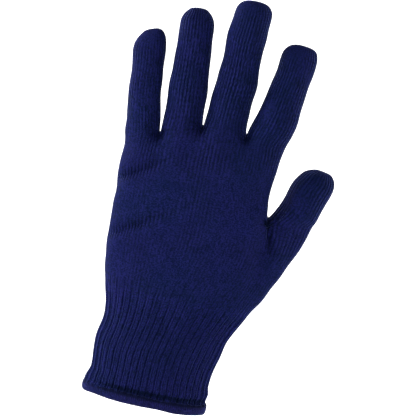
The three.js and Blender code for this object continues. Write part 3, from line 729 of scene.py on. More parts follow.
@dataclass
class KnitNet:
    """The coarse net of the whole liner above its hem."""

    hand: HandShape
    side_columns: int = 3
    ring_pitch: float = 6.2  # the longest step between rings of the cuff and the hand
    digit_pitch: float = 12.4  # and between rings of a digit
    bottom: float = 4.6  # where the net starts, inside the hem
    courses: int = 4  # knitted in one ring of the net

    points: list[Array] = field(default_factory=list)
    quads: list[list[int]] = field(default_factory=list)
    knit: list[list[tuple[float, float, float]]] = field(default_factory=list)
    section: list[int] = field(default_factory=list)
    domed: list[bool] = field(default_factory=list)

    def around(self, columns: int) -> int:
        """How many columns a tube has whose back has so many."""
        return 2 * (columns + self.side_columns)

    def palm_side(self, column: int, columns: int) -> int:
        """The column on the palm side that lies behind a column of the back."""
        return 2 * columns + self.side_columns - column

    def ring(self, points: Array) -> list[int]:
        """Adds points to the net.

        Args:
            points: Their places.

        Returns:
            Their numbers.
        """
        start = len(self.points)
        self.points.extend(np.asarray(points, dtype=float))
        return list(range(start, len(self.points)))

    def steps(self, start: float, end: float, longest: float) -> list[float]:
        """Even steps from start to end, none over the longest, without the first."""
        number = math.ceil((end - start) / longest)
        return [mix(start, end, (i + 1) / number) for i in range(number)]

    def add_quad(
        self,
        corners: list[int],
        knit: list[tuple[float, float, float]],
        section: Section,
        domed: bool = False,
    ) -> None:
        """Adds one quad of the net.

        Args:
            corners: Its points, left and right below and then right and left above.
            knit: The column, course and stitch strength at each.
            section: The section of the liner it belongs to.
            domed: Whether it closes a fingertip.
        """
        self.quads.append(corners)
        self.knit.append(knit)
        self.section.append(list(Section).index(section))
        self.domed.append(domed)

    def join(self, lower: list[int], upper: list[int], course: float, section: Section) -> None:
        """Adds the quads between two closed loops of as many columns.

        Args:
            lower: The lower loop.
            upper: The upper loop.
            course: The course that the lower loop lies on.
            section: The section of the liner that they belong to.
        """
        top = course + self.courses
        for i in range(len(lower)):
            n = (i + 1) % len(lower)
            knit = [(i, course, 1.0), (i + 1, course, 1.0), (i + 1, top, 1.0), (i, top, 1.0)]
            self.add_quad([lower[i], lower[n], upper[n], upper[i]], knit, section)

    def cap(self, loop: list[int], digit: Digit, rise: Array, course: float) -> None:
        """Closes a digit's last loop, with its columns carried over the tip.

        Args:
            loop: The last loop.
            digit: The digit that it belongs to.
            rise: From the last loop to the very tip.
            course: The course that the loop lies on.
        """
        deep, columns = self.side_columns, digit.columns
        grid = [[-1] * (columns + 1) for _ in range(deep + 1)]
        for i in range(columns + 1):
            grid[0][i], grid[deep][i] = loop[i], loop[2 * columns + deep - i]
        for row in range(1, deep):
            grid[row][columns], grid[row][0] = loop[columns + row], loop[len(loop) - row]

        def dome(t: float) -> float:
            """How high the tip stands at a share of the way across it."""
            return 1 - abs(2 * t - 1) ** digit.DOME_POWER

        for row in range(1, deep):
            for i in range(1, columns):
                u, v = i / columns, row / deep
                left, right = self.points[grid[row][0]], self.points[grid[row][columns]]
                near, far = self.points[grid[0][i]], self.points[grid[deep][i]]
                corners = mix(
                    mix(self.points[grid[0][0]], self.points[grid[0][columns]], u),
                    mix(self.points[grid[deep][0]], self.points[grid[deep][columns]], u),
                    v,
                )
                point = mix(left, right, u) + mix(near, far, v) - corners
                grid[row][i] = self.ring([point + rise * dome(u) * dome(v)])[0]
        for row in range(deep):
            for i in range(columns):
                cells = [(row, i), (row, i + 1), (row + 1, i + 1), (row + 1, i)]
                knit = [
                    (c, course + r * self.courses, 0.0 if c in (0, columns) else 1.0)
                    for r, c in cells
                ]
                self.add_quad([grid[r][c] for r, c in cells], knit, digit.section, domed=True)

    def body_ring(self, row: BodyRow, crotches: list[Crotch], columns: int, pull: float) -> Array:
        """One ring of the body.

        Args:
            row: The section's sizes.
            crotches: The crotches whose columns are drawn over towards them.
            columns: The columns on the back.
            pull: How far they are drawn over, from 0 to 1.

        Returns:
            One x and y for each column.
        """
        outline = Outline(row)
        size = self.around(columns)
        half = self.side_columns / 2
        knots = [(-half, 0.0)]
        for face in (Face.BACK, Face.PALM):
            placed = []
            for crotch in crotches:
                column = crotch.column
                if face is Face.PALM:
                    column = self.palm_side(column, columns)
                even = (column + half) / size
                placed.append((column, mix(even, outline.share_at(crotch.x, face), pull)))
            knots += sorted(placed)
            knots.append((columns + half, 0.5) if face is Face.BACK else (size - half, 1.0))
        knots.append((size + half, 1 + self.side_columns / size))
        place, share = zip(*knots)
        return outline.at(np.interp(np.arange(size), place, share))

    def open_crotch(self, loop: list[int], columns: int, crotch: Crotch) -> list[int]:
        """Hangs a crotch's two ends and puts two points between them.

        Args:
            loop: The loop at which the net divides.
            columns: The columns on its back.
            crotch: The crotch.

        Returns:
            The numbers of the two points, from the back to the palm side.
        """
        depth = self.hand.palm_depth
        front = self.points[loop[crotch.column]]
        rear = self.points[loop[self.palm_side(crotch.column, columns)]]
        front[2] -= self.hand.web_sag * depth
        rear[2] -= self.hand.web_sag * depth
        half = self.hand.web_spread * depth / 2
        middle = (front[1] + rear[1]) / 2
        return self.ring([[crotch.x, middle + y, crotch.z] for y in (-half, half)])

    def knit_digit(self, digit: Digit, loop: list[int], base: Array, course: float) -> None:
        """Knits one digit from its base loop to its closed tip.

        Args:
            digit: The digit.
            loop: Its base loop.
            base: Where its axis stands.
            course: The course that the base loop lies on.
        """
        lean = math.radians(digit.lean)
        axis = np.array([math.sin(lean), 0.0, math.cos(lean)])
        shares = [digit.rows[0].at]
        for a, b in zip(digit.rows, digit.rows[1:]):
            shares += self.steps(a.at, b.at, self.digit_pitch / digit.length)
        size = self.around(digit.columns)
        for n, at in enumerate(shares):
            row = read(digit.rows, at)
            turn = lean + math.radians(row.tilt)
            across = np.array([math.cos(turn), 0.0, -math.sin(turn)])
            middle = base + axis * at * digit.length
            middle = middle + [row.bow * digit.width, digit.curl * at**2, 0.0]
            side, face = row.width * digit.width / 2, row.depth * digit.depth / 2
            outline = Outline(BodyRow(at, side, side, face, face, digit.SQUARE))
            flat = outline.at((np.arange(size) + self.side_columns / 2) / size)
            points = middle + flat[:, :1] * across + flat[:, 1:] * np.array([0.0, 1.0, 0.0])
            upper = self.ring(points)
            self.join(loop, upper, course, digit.section if n else digit.OVERLAP)
            loop, course = upper, course + self.courses
        rise = axis * (1 - digit.rows[-1].at) * digit.length
        self.cap(loop, digit, rise, course)

    def knit_body(self) -> tuple[list[int], list[int], float, float]:
        """Knits the cuff and the hand up to the crotches of the fingers.

        Returns:
            The last loop of the hand, the base loop of the thumb, and the courses that
            they lie on.
        """
        hand = self.hand
        course = 0.0
        loop: list[int] = []
        for z in [self.bottom, *self.steps(self.bottom, hand.cuff_length, self.ring_pitch)]:
            row = read(hand.cuff_rows, z / hand.cuff_length)
            flat = self.body_ring(row, [], hand.body_columns, 0.0)
            upper = self.ring(np.column_stack([flat, np.full(len(flat), z)]))
            if loop:
                self.join(loop, upper, course, Section.CUFF)
                course += self.courses
            loop = upper
        for z in self.steps(hand.cuff_length, hand.thumb_crotch_z, self.ring_pitch):
            at = (z - hand.cuff_length) / hand.heel_length
            row = read(hand.heel_rows, at)
            flat = self.body_ring(row, hand.crotches, hand.body_columns, ease(at))
            upper = self.ring(np.column_stack([flat, np.full(len(flat), z)]))
            self.join(loop, upper, course, Section.PALM)
            loop, course = upper, course + self.courses

        web = self.open_crotch(loop, hand.body_columns, hand.crotches[-1])
        rear = self.palm_side(hand.hand_columns, hand.body_columns)
        thumb = [*loop[hand.hand_columns : rear + 1], *reversed(web)]
        loop = [*loop[: hand.hand_columns + 1], *web, *loop[rear:]]
        thumb_course = course

        outer, inner = hand.crotches[0], hand.crotches[1]
        last_z = hand.knuckle_z - hand.last_ring_drop * hand.knuckle_length
        for z in self.steps(hand.thumb_crotch_z, last_z, self.ring_pitch):
            row = read(hand.knuckle_rows, (z - hand.thumb_crotch_z) / hand.knuckle_length)
            follow = ease((z - hand.thumb_crotch_z) / (last_z - hand.thumb_crotch_z))
            flat = self.body_ring(row, hand.crotches[:-1], hand.hand_columns, 1.0)
            crotch_z = mix(outer.z, inner.z, ease((flat[:, 0] - outer.x) / (inner.x - outer.x)))
            heights = z - follow * (hand.knuckle_z - crotch_z)
            upper = self.ring(np.column_stack([flat, heights]))
            self.join(loop, upper, course, Section.PALM)
            loop, course = upper, course + self.courses
        return loop, thumb, course, thumb_course

    def knit_all(self) -> "Fabric":
        """Knits the whole net.

        Returns:
            The net as coarse fabric, whose points are where the finished shape passes.
        """
        hand = self.hand
        loop, thumb, course, thumb_course = self.knit_body()
        webs = [self.open_crotch(loop, hand.hand_columns, c) for c in hand.crotches[:-1]]
        top, heel = hand.knuckle_rows[-1], hand.heel_rows[-1]
        edges = [-top.left, *(crotch.x for crotch in hand.crotches[:-1]), top.right]
        heights = [hand.crotches[0].z, hand.knuckle_z, hand.knuckle_z, hand.knuckle_z]
        for n, digit in enumerate(hand.DIGITS[:-1]):
            start, end = hand.first[n], hand.first[n] + digit.columns
            right = webs[n] if n < len(webs) else loop[end + 1 : end + self.side_columns]
            left = webs[n - 1][::-1] if n else loop[1 - self.side_columns :]
            back = loop[start : end + 1]
            low, high = (self.palm_side(c, hand.hand_columns) for c in (end, start))
            palm = loop[low : high + 1]
            base = np.array([(edges[n] + edges[n + 1]) / 2, 0.0, heights[n]])
            self.knit_digit(digit, [*back, *right, *palm, *left], base, course)
        base = np.array([(hand.crotches[-1].x + heel.right) / 2, heel.lean, hand.thumb_crotch_z])
        self.knit_digit(hand.DIGITS[-1], thumb, base, thumb_course)
        return Fabric(
            points=np.array(self.points),
            quads=np.array(self.quads),
            knit=np.array(self.knit, dtype=float),
            section=np.array(self.section),
            domed=np.array(self.domed),
        )


@dataclass(frozen=True)
class Unevenness:
    """Slow swells of the fabric, from a few crossed waves."""

    height: float
    length: float  # of the longest wave
    shortest: float = 0.45  # share of that in the shortest one
    waves: int = 14
    seed: int = 4

    def at(self, points: Array) -> Array:
        """How far the fabric swells at each point.

        Args:
            points: The points.

        Returns:
            One height for each, mostly between plus and minus the swell's own height.
        """
        dice = np.random.default_rng(self.seed)
        total = np.zeros(len(points))
        for _ in range(self.waves):
            way = dice.normal(size=3)
            way = way / np.linalg.norm(way)
            length = self.length * dice.uniform(self.shortest, 1.0)
            total += np.sin(TAU * (points @ way) / length + dice.uniform(0, TAU))
        return self.height * total * math.sqrt(2 / self.waves)


@dataclass
class KnitRelief:
    """The ribs of the cuff and the wales of the hand, as heights on the plain fabric."""

    ribs: int = RIBS
    rib_depth: float = 0.36
    rib_half: float = 0.25  # half of a rib's flat top, as a share of the rib's pitch
    rib_foot: float = 0.43  # where its side reaches the groove
    rib_parting: float = 0.4  # depth of the line between its two standing wales
    parting_power: float = 1.5  # how narrow that line is
    rib_swell: float = 0.25  # how far the ribs' crests stand over the plain form
    ribs_fade: tuple[float, float] = (56.0, 80.0)  # heights where they start to fade and are gone
    edge_column: float = -1.5  # of the net, at the little finger's edge of the cuff
    wale_depth: float = 0.15
    wale_power: float = 1.5  # how narrow the grooves between the wales are
    wale_swell: float = 0.06  # how far their crests stand over the plain form
    wales_start: tuple[float, float] = (128.0, 165.0)  # heights where they are faint and plain
    faint: float = 0.3  # of the wales where they hardly show
    plain: float = 0.9  # of the wales on the fingers
    outer: float = 0.62  # how much of that is left at the little finger's edge
    clearing: tuple[float, float] = (-45.0, 75.0)  # from there on, and over what width
    thumb_early: float = 36.0  # how much lower the wales start on the thumb
    thumb_x: float = 46.0  # from there on, and over what width, the fabric is the thumb's
    thumb_reach: float = 8.0
    press: float = 1.7  # how much deeper they stand in a fold
    fading: Unevenness = Unevenness(height=0.4, length=34.0, seed=7)
    pinch_z: float = 7.8  # the tight course above the hem
    pinch_spread: float = 1.6
    pinch_depth: float = 1.1
    pinch_facing: float = 1.5  # how soon it is full as the cuff turns to the front or back
    ruffle_z: float = 11.8  # the fullness above that
    ruffle_spread: float = 2.2
    ruffle_height: float = 0.5
    flare: tuple[float, float] = (14.5, 7.0)  # where the little finger's edge spreads out
    flare_width: float = 1.3
    flare_side: float = 34.0  # from the middle out to where it is full
    flare_power: int = 3  # how late it sets in on the way out

    def rib_phase(self, column: Array, columns: int) -> Array:
        """The number of ribs passed at a column of the body."""
        return self.ribs * (column - self.edge_column) / columns

    def ribs_at(self, phase: Array) -> Array:
        """The height of a rib's section.

        Args:
            phase: The number of ribs passed.

        Returns:
            Heights from the ribs' swell, on a rib's two wales, down to the groove beside it.
        """
        off = np.abs(np.mod(phase, 1.0) - 0.5)
        side = ease((off - self.rib_half) / (self.rib_foot - self.rib_half))
        parting = self.rib_parting * np.abs(np.cos(TAU * phase)) ** self.parting_power
        return self.rib_swell - self.rib_depth * side - parting

    def wales_at(self, column: Array) -> Array:
        """The height of the wales' section, two of them to a column."""
        groove = (1 - np.abs(np.sin(TAU * column))) ** self.wale_power
        return self.wale_swell - self.wale_depth * groove

    def clarity(self, points: Array) -> Array:
        """How clearly the wales of the hand stand out.

        Args:
            points: The points.

        Returns:
            From 0 to 1 for each point, more on the digits and towards the index finger.
        """
        start, full = self.wales_start
        early = self.thumb_early * ease((points[:, 0] - self.thumb_x) / self.thumb_reach)
        rise = ease((points[:, 2] + early - start) / (full - start))
        clear = mix(self.faint, self.plain, rise)
        left, width = self.clearing
        towards_index = mix(self.outer, 1.0, ease((points[:, 0] - left) / width))
        return np.clip(clear * towards_index * (1 + self.fading.at(points)), 0, 1)

    def ribbed(self, z: Array) -> Array:
        """How far the fabric is ribbed at a height, from 0 to 1."""
        start, end = self.ribs_fade
        return 1 - ease((z - start) / (end - start))

    def at(self, fabric: Fabric, points: Array, clear: Array, columns: int) -> Array:
        """The height of the knitting at each point.

        Args:
            fabric: The fine fabric.
            points: Its points in place.
            clear: How clearly the stitches stand out at each.
            columns: The columns round the body.

        Returns:
            One height for each point.
        """
        z = points[fabric.quads][..., 2]
        column, strength = fabric.knit[..., 0], fabric.knit[..., 2]
        ribbed = self.ribbed(z)
        height = ribbed * self.ribs_at(self.rib_phase(column, columns))
        wales = strength * clear[fabric.quads] * self.wales_at(column)
        height = height + (1 - ribbed) * wales
        size = len(points)
        around = np.bincount(fabric.quads.ravel(), minlength=size)
        mean = gather(height[..., None], fabric.quads, size)[:, 0] / around
        start, full = self.flare
        side = ease(-points[:, 0] / self.flare_side) ** self.flare_power
        spread = self.flare_width * side * ease((points[:, 2] - start) / (full - start))
        ruffle = np.exp(-(((points[:, 2] - self.ruffle_z) / self.ruffle_spread) ** 2))
        ruffle = self.ruffle_height * (1 - side) * ruffle
        pinch = self.pinch_depth * self.pinch(points, fabric.normals())
        return mean - pinch + ruffle + spread

    def pinch(self, points: Array, normals: Array) -> Array:
        """How tightly the course above the hem draws the fabric in.

        Args:
            points: The points.
            normals: The outward normals there.

        Returns:
            From 0 to 1 for each point, and little at the cuff's two sides.
        """
        near = np.exp(-(((points[:, 2] - self.pinch_z) / self.pinch_spread) ** 2))
        return near * ease(self.pinch_facing * np.abs(normals[:, 1]))


@dataclass
class Piece:
    """One section of the liner, ready to become a mesh."""

    section: Section
    points: Array
    normals: Array
    faces: list[Array]  # of three or four corners each
    uv: list[Array]  # wale and course at each corner of those faces
    painted_light: Array  # painted light: from 0 where shade is painted in full, as in the grooves, to 1 where none is
    clear: Array  # how clearly the stitches stand out, from 0 to 1
    slot: str

    def build(self, finish: "KnitFinish") -> bpy.types.Object:
        """Makes the mesh, dresses it and rides it on the frame.

        Args:
            finish: The finish that it is dressed in.

        Returns:
            The object.
        """
        mesh = bpy.data.meshes.new(f"{self.section.value}_knit")
        corners = np.concatenate([face.ravel() for face in self.faces])
        totals = np.concatenate([np.full(len(face), face.shape[1]) for face in self.faces])
        mesh.vertices.add(len(self.points))
        mesh.vertices.foreach_set("co", (self.points * METRES).astype(np.float32).ravel())
        mesh.loops.add(len(corners))
        mesh.loops.foreach_set("vertex_index", corners.astype(np.int32))
        mesh.polygons.add(len(totals))
        starts = np.concatenate([[0], np.cumsum(totals)[:-1]])
        mesh.polygons.foreach_set("loop_start", starts.astype(np.int32))
        mesh.polygons.foreach_set("use_smooth", np.ones(len(totals), dtype=bool))
        mesh.update(calc_edges=True)
        layer = mesh.uv_layers.new(name="knit")
        uv = np.concatenate([part.reshape(-1, 2) for part in self.uv])
        layer.data.foreach_set("uv", uv.astype(np.float32).ravel())
        for name, values in (("painted_light", self.painted_light), ("clear", self.clear)):
            made = mesh.attributes.new(name, "FLOAT", "POINT")
            made.data.foreach_set("value", values.astype(np.float32))
        mesh.normals_split_custom_set_from_vertices(self.normals.tolist())
        mesh.materials.append(finish.material())
        made = bpy.data.objects.new(mesh.name, mesh)
        bpy.context.scene.collection.objects.link(made)
        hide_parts(self.section.value)
        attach(made, "root")
        log.info("%s: %d points, %d faces", made.name, len(self.points), len(totals))
        return made


@dataclass
class Liner:
    """The knitted liner above its hem: the cuff, the palm and the five digits."""

    hand: HandShape
    relief: KnitRelief
    wall: float = WALL
    wales_per_rib: int = 3
    wales_per_column: int = 2  # of the hand's net
    fittings: int = 2  # of the coarse net to the places that the surface passes
    swell: Unevenness = Unevenness(height=0.16, length=26.0)
    fold_shade: float = 0.35  # how dark the pressed wales of a fold are
    pinch_shade: float = 0.7  # how dark the tight course above the hem is
    shade_depths: tuple[float, float] = (0.42, 1.05)  # of the darkest groove: hand, cuff
    rib_clarity: float = 0.8  # of the stitches on the cuff
    lining_look: float = 0.5  # the lining's painted light, which shades it part of the way to the groove colour, and its clarity

    level: Fabric = field(init=False)  # smoothed once, whose quads make the lining
    cuts: list[Halves] = field(init=False)  # the middles of edges made from there on
    fine: Fabric = field(init=False)
    smooth: Array = field(init=False)  # the fine points without ribs and wales
    outwards: Array = field(init=False)  # their normals
    shading: Array = field(init=False)  # the normals with ribs and wales
    painted_light: Array = field(init=False)  # painted light: from 0 where shade is painted in full, in grooves, folds, pits and the tight course, to 1 where none is
    clear: Array = field(init=False)  # how clearly the stitches stand out, from 0 to 1
    columns: int = field(init=False)  # of the net, round the body

    def fitted(self) -> Fabric:
        """Moves the coarse net so that the smooth surface passes through its own points.

        Returns:
            The net that the surface is made from.
        """
        coarse = KnitNet(self.hand).knit_all()
        control = coarse
        for _ in range(self.fittings):
            first, _ = control.smoothed()
            second, _ = first.smoothed()
            lifted = control.points + coarse.points - second.points[: len(coarse.points)]
            control = Fabric(lifted, coarse.quads, coarse.knit, coarse.section, coarse.domed)
        return control

    def folded(self, points: Array, normals: Array) -> Array:
        """Gives the plain form its folds, pads, dimples and slow swells.

        Args:
            points: Points of the hand's plain form.
            normals: The outward normals there.

        Returns:
            The new place of each point.
        """
        made = points + normals * self.hand.relief(points, normals)[:, None]
        sunk = np.sign(normals[:, 1]) * ease(np.abs(normals[:, 1]))
        made[:, 1] -= sunk * self.hand.dimple(points)
        return made + normals * self.swell.at(made)[:, None]

    def shape(self) -> None:
        """Knits the net, works it fine, folds it and raises its ribs and wales."""
        self.level, self.cuts = self.fitted().smoothed()[0], []
        fine = self.level
        for step in (Fabric.smoothed, Fabric.narrowed, Fabric.narrowed):
            fine, halves = step(fine)
            self.cuts.append(halves)

        normals = fine.normals()
        squeeze, pit = self.hand.squeeze(fine.points, normals), self.hand.pit(fine.points)
        fine.points = self.folded(fine.points, normals)
        self.fine, self.smooth, self.outwards = fine, fine.points, fine.normals()
        self.columns = KnitNet(self.hand).around(self.hand.body_columns)
        pressed = self.relief.clarity(self.smooth) + self.relief.press * squeeze
        height = self.relief.at(fine, self.smooth, pressed, self.columns)
        ribbed = self.relief.ribbed(self.smooth[:, 2])
        pinch = self.relief.pinch(self.smooth, self.outwards)
        # Painted shade: the colour is darkened in the grooves of ribs and wales, in pressed folds, in the
        # crotches' pits and on the tight course above the hem
        dark = self.fold_shade * squeeze + pit + self.pinch_shade * pinch
        self.painted_light = np.clip(1 + height / mix(*self.shade_depths, ribbed) - dark, 0, 1)
        self.clear = np.maximum(np.clip(pressed, 0, 1), self.rib_clarity * ribbed)
        fine.points = self.smooth + self.outwards * height[:, None]
        self.shading = fine.normals()

    def chain(self, start: Array, end: Array) -> Array:
        """The fine points along coarse edges.

        Args:
            start: The point at which each edge starts.
            end: The point at which it ends.

        Returns:
            One row of points for each edge, its two ends included.
        """
        line = np.stack([start, end], axis=1)
        for halves in self.cuts:
            between = halves.of(line[:, :-1], line[:, 1:])
            wider = np.empty((len(line), 2 * line.shape[1] - 1), dtype=line.dtype)
            wider[:, ::2], wider[:, 1::2] = line, between
            line = wider
        return line

    def cut(self, section: Section, slot: str) -> Piece:
        """Cuts one section out of the fabric, as a wall of its own.

        Args:
            section: The section.
            slot: A material slot's name, which is kept on the piece but not used.

        Returns:
            The piece, closed along its rims.
        """
        number = list(Section).index(section)
        fine, level = self.fine, self.level
        outer = fine.quads[fine.section == number]
        inner = level.quads[level.section == number][:, ::-1]
        start, end = inner.ravel(), np.roll(inner, -1, axis=1).ravel()
        keys = set(zip(start.tolist(), end.tolist()))
        rim = np.array([edge for edge in keys if edge[::-1] not in keys]).reshape(-1, 2)

        used = np.unique(outer)
        inside = np.unique(inner)
        place = np.full(len(fine.points), -1)
        place[used] = np.arange(len(used))
        under = np.full(len(fine.points), -1)
        under[inside] = len(used) + np.arange(len(inside))

        faces = [place[outer], under[inner]]
        front = fine.knit[fine.section == number][..., :2]
        back = level.knit[level.section == number][:, ::-1, :2]
        uv = [self.wales(front, section), self.wales(back, section)]
        if len(rim):
            line = self.chain(rim[:, 0], rim[:, 1])
            half = line.shape[1] // 2
            a, b = under[rim[:, 0]], under[rim[:, 1]]
            strips = [
                np.stack([place[line[:, n]], place[line[:, n + 1]], a if n < half else b], axis=1)
                for n in range(line.shape[1] - 1)
            ]
            strips.append(np.stack([place[line[:, half]], b, a], axis=1))
            faces.append(np.concatenate(strips))
            uv.append(np.zeros((len(faces[-1]), 3, 2)))
        lining = self.smooth[inside] - self.wall * self.outwards[inside]
        look = np.full(len(inside), self.lining_look)
        return Piece(
            section=section,
            points=np.concatenate([fine.points[used], lining]),
            normals=np.concatenate([self.shading[used], -self.outwards[inside]]),
            faces=faces,
            uv=uv,
            painted_light=np.concatenate([self.painted_light[used], look]),
            clear=np.concatenate([self.clear[used], look]),
            slot=slot,
        )

    def wales(self, knit: Array, section: Section) -> Array:
        """The wale and the course at each corner.

        Args:
            knit: The column and the course at each corner.
            section: The section that the corners belong to.

        Returns:
            The same with the column counted in wales.
        """
        made = knit.copy()
        if section is Section.CUFF:
            made[..., 0] = self.relief.rib_phase(knit[..., 0], self.columns) * self.wales_per_rib
        else:
            made[..., 0] = self.wales_per_column * knit[..., 0]
        return made


@dataclass
class Hem:
    """The rolled and overedged end of the cuff."""

    hand: HandShape
    height: float = 6.0
    thickness: float = 3.6
    offset: float = 0.6  # how far the roll's middle lies outside the middle of the wall
    wall: float = WALL
    square: float = 2.7  # of its section: 2 is an oval, more is boxier
    ribs: int = RIBS
    rib_height: float = 0.16  # of the ribs where they run into it
    around: int = 1056
    section: int = 32
    thread_pitch: float = 1.15
    thread_height: float = 0.1
    thread_slant: float = 3.6  # how many pitches a thread moves along on its way round
    thread_level: float = 0.6  # share of a thread's height at which the plain roll lies
    courses: int = 14  # of stitches on its way round
    hang: float = 0.9  # how far its edge hangs lower on the thumb's side
    hang_reach: float = 20.0  # from the middle out to where it is full
    painted_light_level: float = 0.7  # painted light where the threads pass the plain roll
    shade_z: float = 3.2  # above which the roll lies in shade
    shade_reach: float = 2.2  # from there to where it is darkest
    clarity: float = 0.6  # of the stitches
    swell: Unevenness = Unevenness(height=0.22, length=30.0, seed=11)

    def quads(self) -> Array:
        """The quads of the roll, which closes on itself both ways.

        Returns:
            The numbers of the four points of each.
        """
        numbers = np.arange(self.around * self.section).reshape(self.around, self.section)
        right, up = np.roll(numbers, -1, axis=0), np.roll(numbers, -1, axis=1)
        both = np.roll(right, -1, axis=1)
        return np.stack([numbers, right, both, up], axis=-1).reshape(-1, 4)

    def cut(self) -> Piece:
        """Works the roll.

        Returns:
            The piece.
        """
        outline = Outline(read(self.hand.cuff_rows, self.height / self.hand.cuff_length))
        share = np.arange(self.around) / self.around
        angle = TAU * (np.arange(self.section) + 0.5) / self.section
        turn, way = (grid.ravel() for grid in np.meshgrid(angle, share))
        across, upwards = (
            np.sign(f(turn)) * np.abs(f(turn)) ** (2 / self.square) for f in (np.cos, np.sin)
        )
        z = (1 + upwards) * self.height / 2
        flat = outline.at(way, self.offset - self.wall / 2 + across * self.thickness / 2)
        hang = self.hang * ease(flat[:, 0] / self.hang_reach) * (1 - z / self.height)
        points = np.column_stack([flat, z - hang])

        threads = round(outline.length / self.thread_pitch)
        phase = threads * way + self.thread_slant * turn / TAU
        thread = np.abs(np.sin(math.pi * phase)) - self.thread_level
        rib = self.rib_height * np.cos(TAU * self.ribs * way) * ease(np.sin(turn))
        wave = self.swell.at(np.column_stack([outline.at(way), np.zeros(way.size)]))
        height = self.thread_height * thread + rib + wave
        shade = ease((z - self.shade_z) / self.shade_reach)

        quads = self.quads()
        size = len(quads)
        knit = np.zeros((size, 4, 3))
        fabric = Fabric(points, quads, knit, np.zeros(size), np.zeros(size, dtype=bool))
        fabric.points = points + fabric.normals() * height[:, None]
        uv = np.column_stack([threads * way, turn / TAU * self.courses])[quads]
        for axis, period in enumerate((threads, self.courses)):
            uv[..., axis] = self.unwrapped(uv[..., axis], period)
        return Piece(
            section=Section.HEM,
            points=fabric.points,
            normals=fabric.normals(),
            faces=[quads],
            uv=[uv],
            # Painted light on the threads' tops, and painted shade between them and over the roll's upper
            # side
            painted_light=np.clip(self.painted_light_level + thread - shade, 0, 1),
            clear=np.full(len(points), self.clarity),
            slot="hem_knit",
        )

    @staticmethod
    def unwrapped(values: Array, period: float) -> Array:
        """Values at a quad's corners, without the jump where the count starts again."""
        first = values[:, :1]
        return values + period * np.round((first - values) / period)


@dataclass(frozen=True)
class Cloud:
    """The grain of a cloudy noise."""

    size: float  # the breadth of its largest clouds
    detail: float  # how many finer layers it has
    rough: float = 0.55  # how strong those are


class Graph:
    """The nodes of one material."""

    def __init__(self, material: bpy.types.Material) -> None:
        """Clears the material's nodes.

        Args:
            material: The material.
        """
        material.use_nodes = True
        self.tree = material.node_tree
        self.tree.nodes.clear()

    def node(self, kind: str, **settings: object) -> bpy.types.Node:
        """Adds a node.

        Args:
            kind: Its type.
            settings: Its settings, by name.

        Returns:
            The node.
        """
        made = self.tree.nodes.new(kind)
        for name, value in settings.items():
            setattr(made, name, value)
        return made

    def feed(self, target: Socket, source: object) -> None:
        """Links a socket to an input, or sets the input to a value.

        Args:
            target: The input.
            source: The socket or the value.
        """
        if isinstance(source, Socket):
            self.tree.links.new(source, target)
        else:
            target.default_value = source

    def math(self, operation: str, *values: object) -> Socket:
        """One sum of numbers.

        Args:
            operation: What is done with them.
            values: Sockets or numbers.

        Returns:
            The result.
        """
        made = self.node("ShaderNodeMath", operation=operation)
        for target, value in zip(made.inputs, values):
            self.feed(target, value)
        return made.outputs[0]

    def step(self, value: object, low: float, high: float) -> Socket:
        """A smooth step of a value.

        Args:
            value: A socket or a number.
            low: Where the step is 0.
            high: Where it is 1.

        Returns:
            The height of the step.
        """
        made = self.node("ShaderNodeMapRange", interpolation_type="SMOOTHSTEP")
        for name, given in (("Value", value), ("From Min", low), ("From Max", high)):
            self.feed(made.inputs[name], given)
        return made.outputs["Result"]

    def blend(self, factor: object, a: object, b: object) -> Socket:
        """The colour a share of the way from a to b.

        Args:
            factor: The share.
            a: The colour at 0.
            b: The colour at 1.

        Returns:
            The mixed colour.
        """
        made = self.node("ShaderNodeMix", data_type="RGBA")
        inputs = [s for s in made.inputs if s.enabled]
        for target, value in zip(inputs, (factor, a, b)):
            self.feed(target, value)
        return next(s for s in made.outputs if s.enabled)

    def noise(self, place: Socket, grain: Cloud) -> Socket:
        """Cloudy noise.

        Args:
            place: The coordinates it is read at.
            grain: Its grain.

        Returns:
            A number from 0 to 1.
        """
        made = self.node("ShaderNodeTexNoise")
        self.feed(made.inputs["Vector"], place)
        made.inputs["Scale"].default_value = 1 / (grain.size * METRES)
        made.inputs["Detail"].default_value = grain.detail
        made.inputs["Roughness"].default_value = grain.rough
        return made.outputs["Fac"]


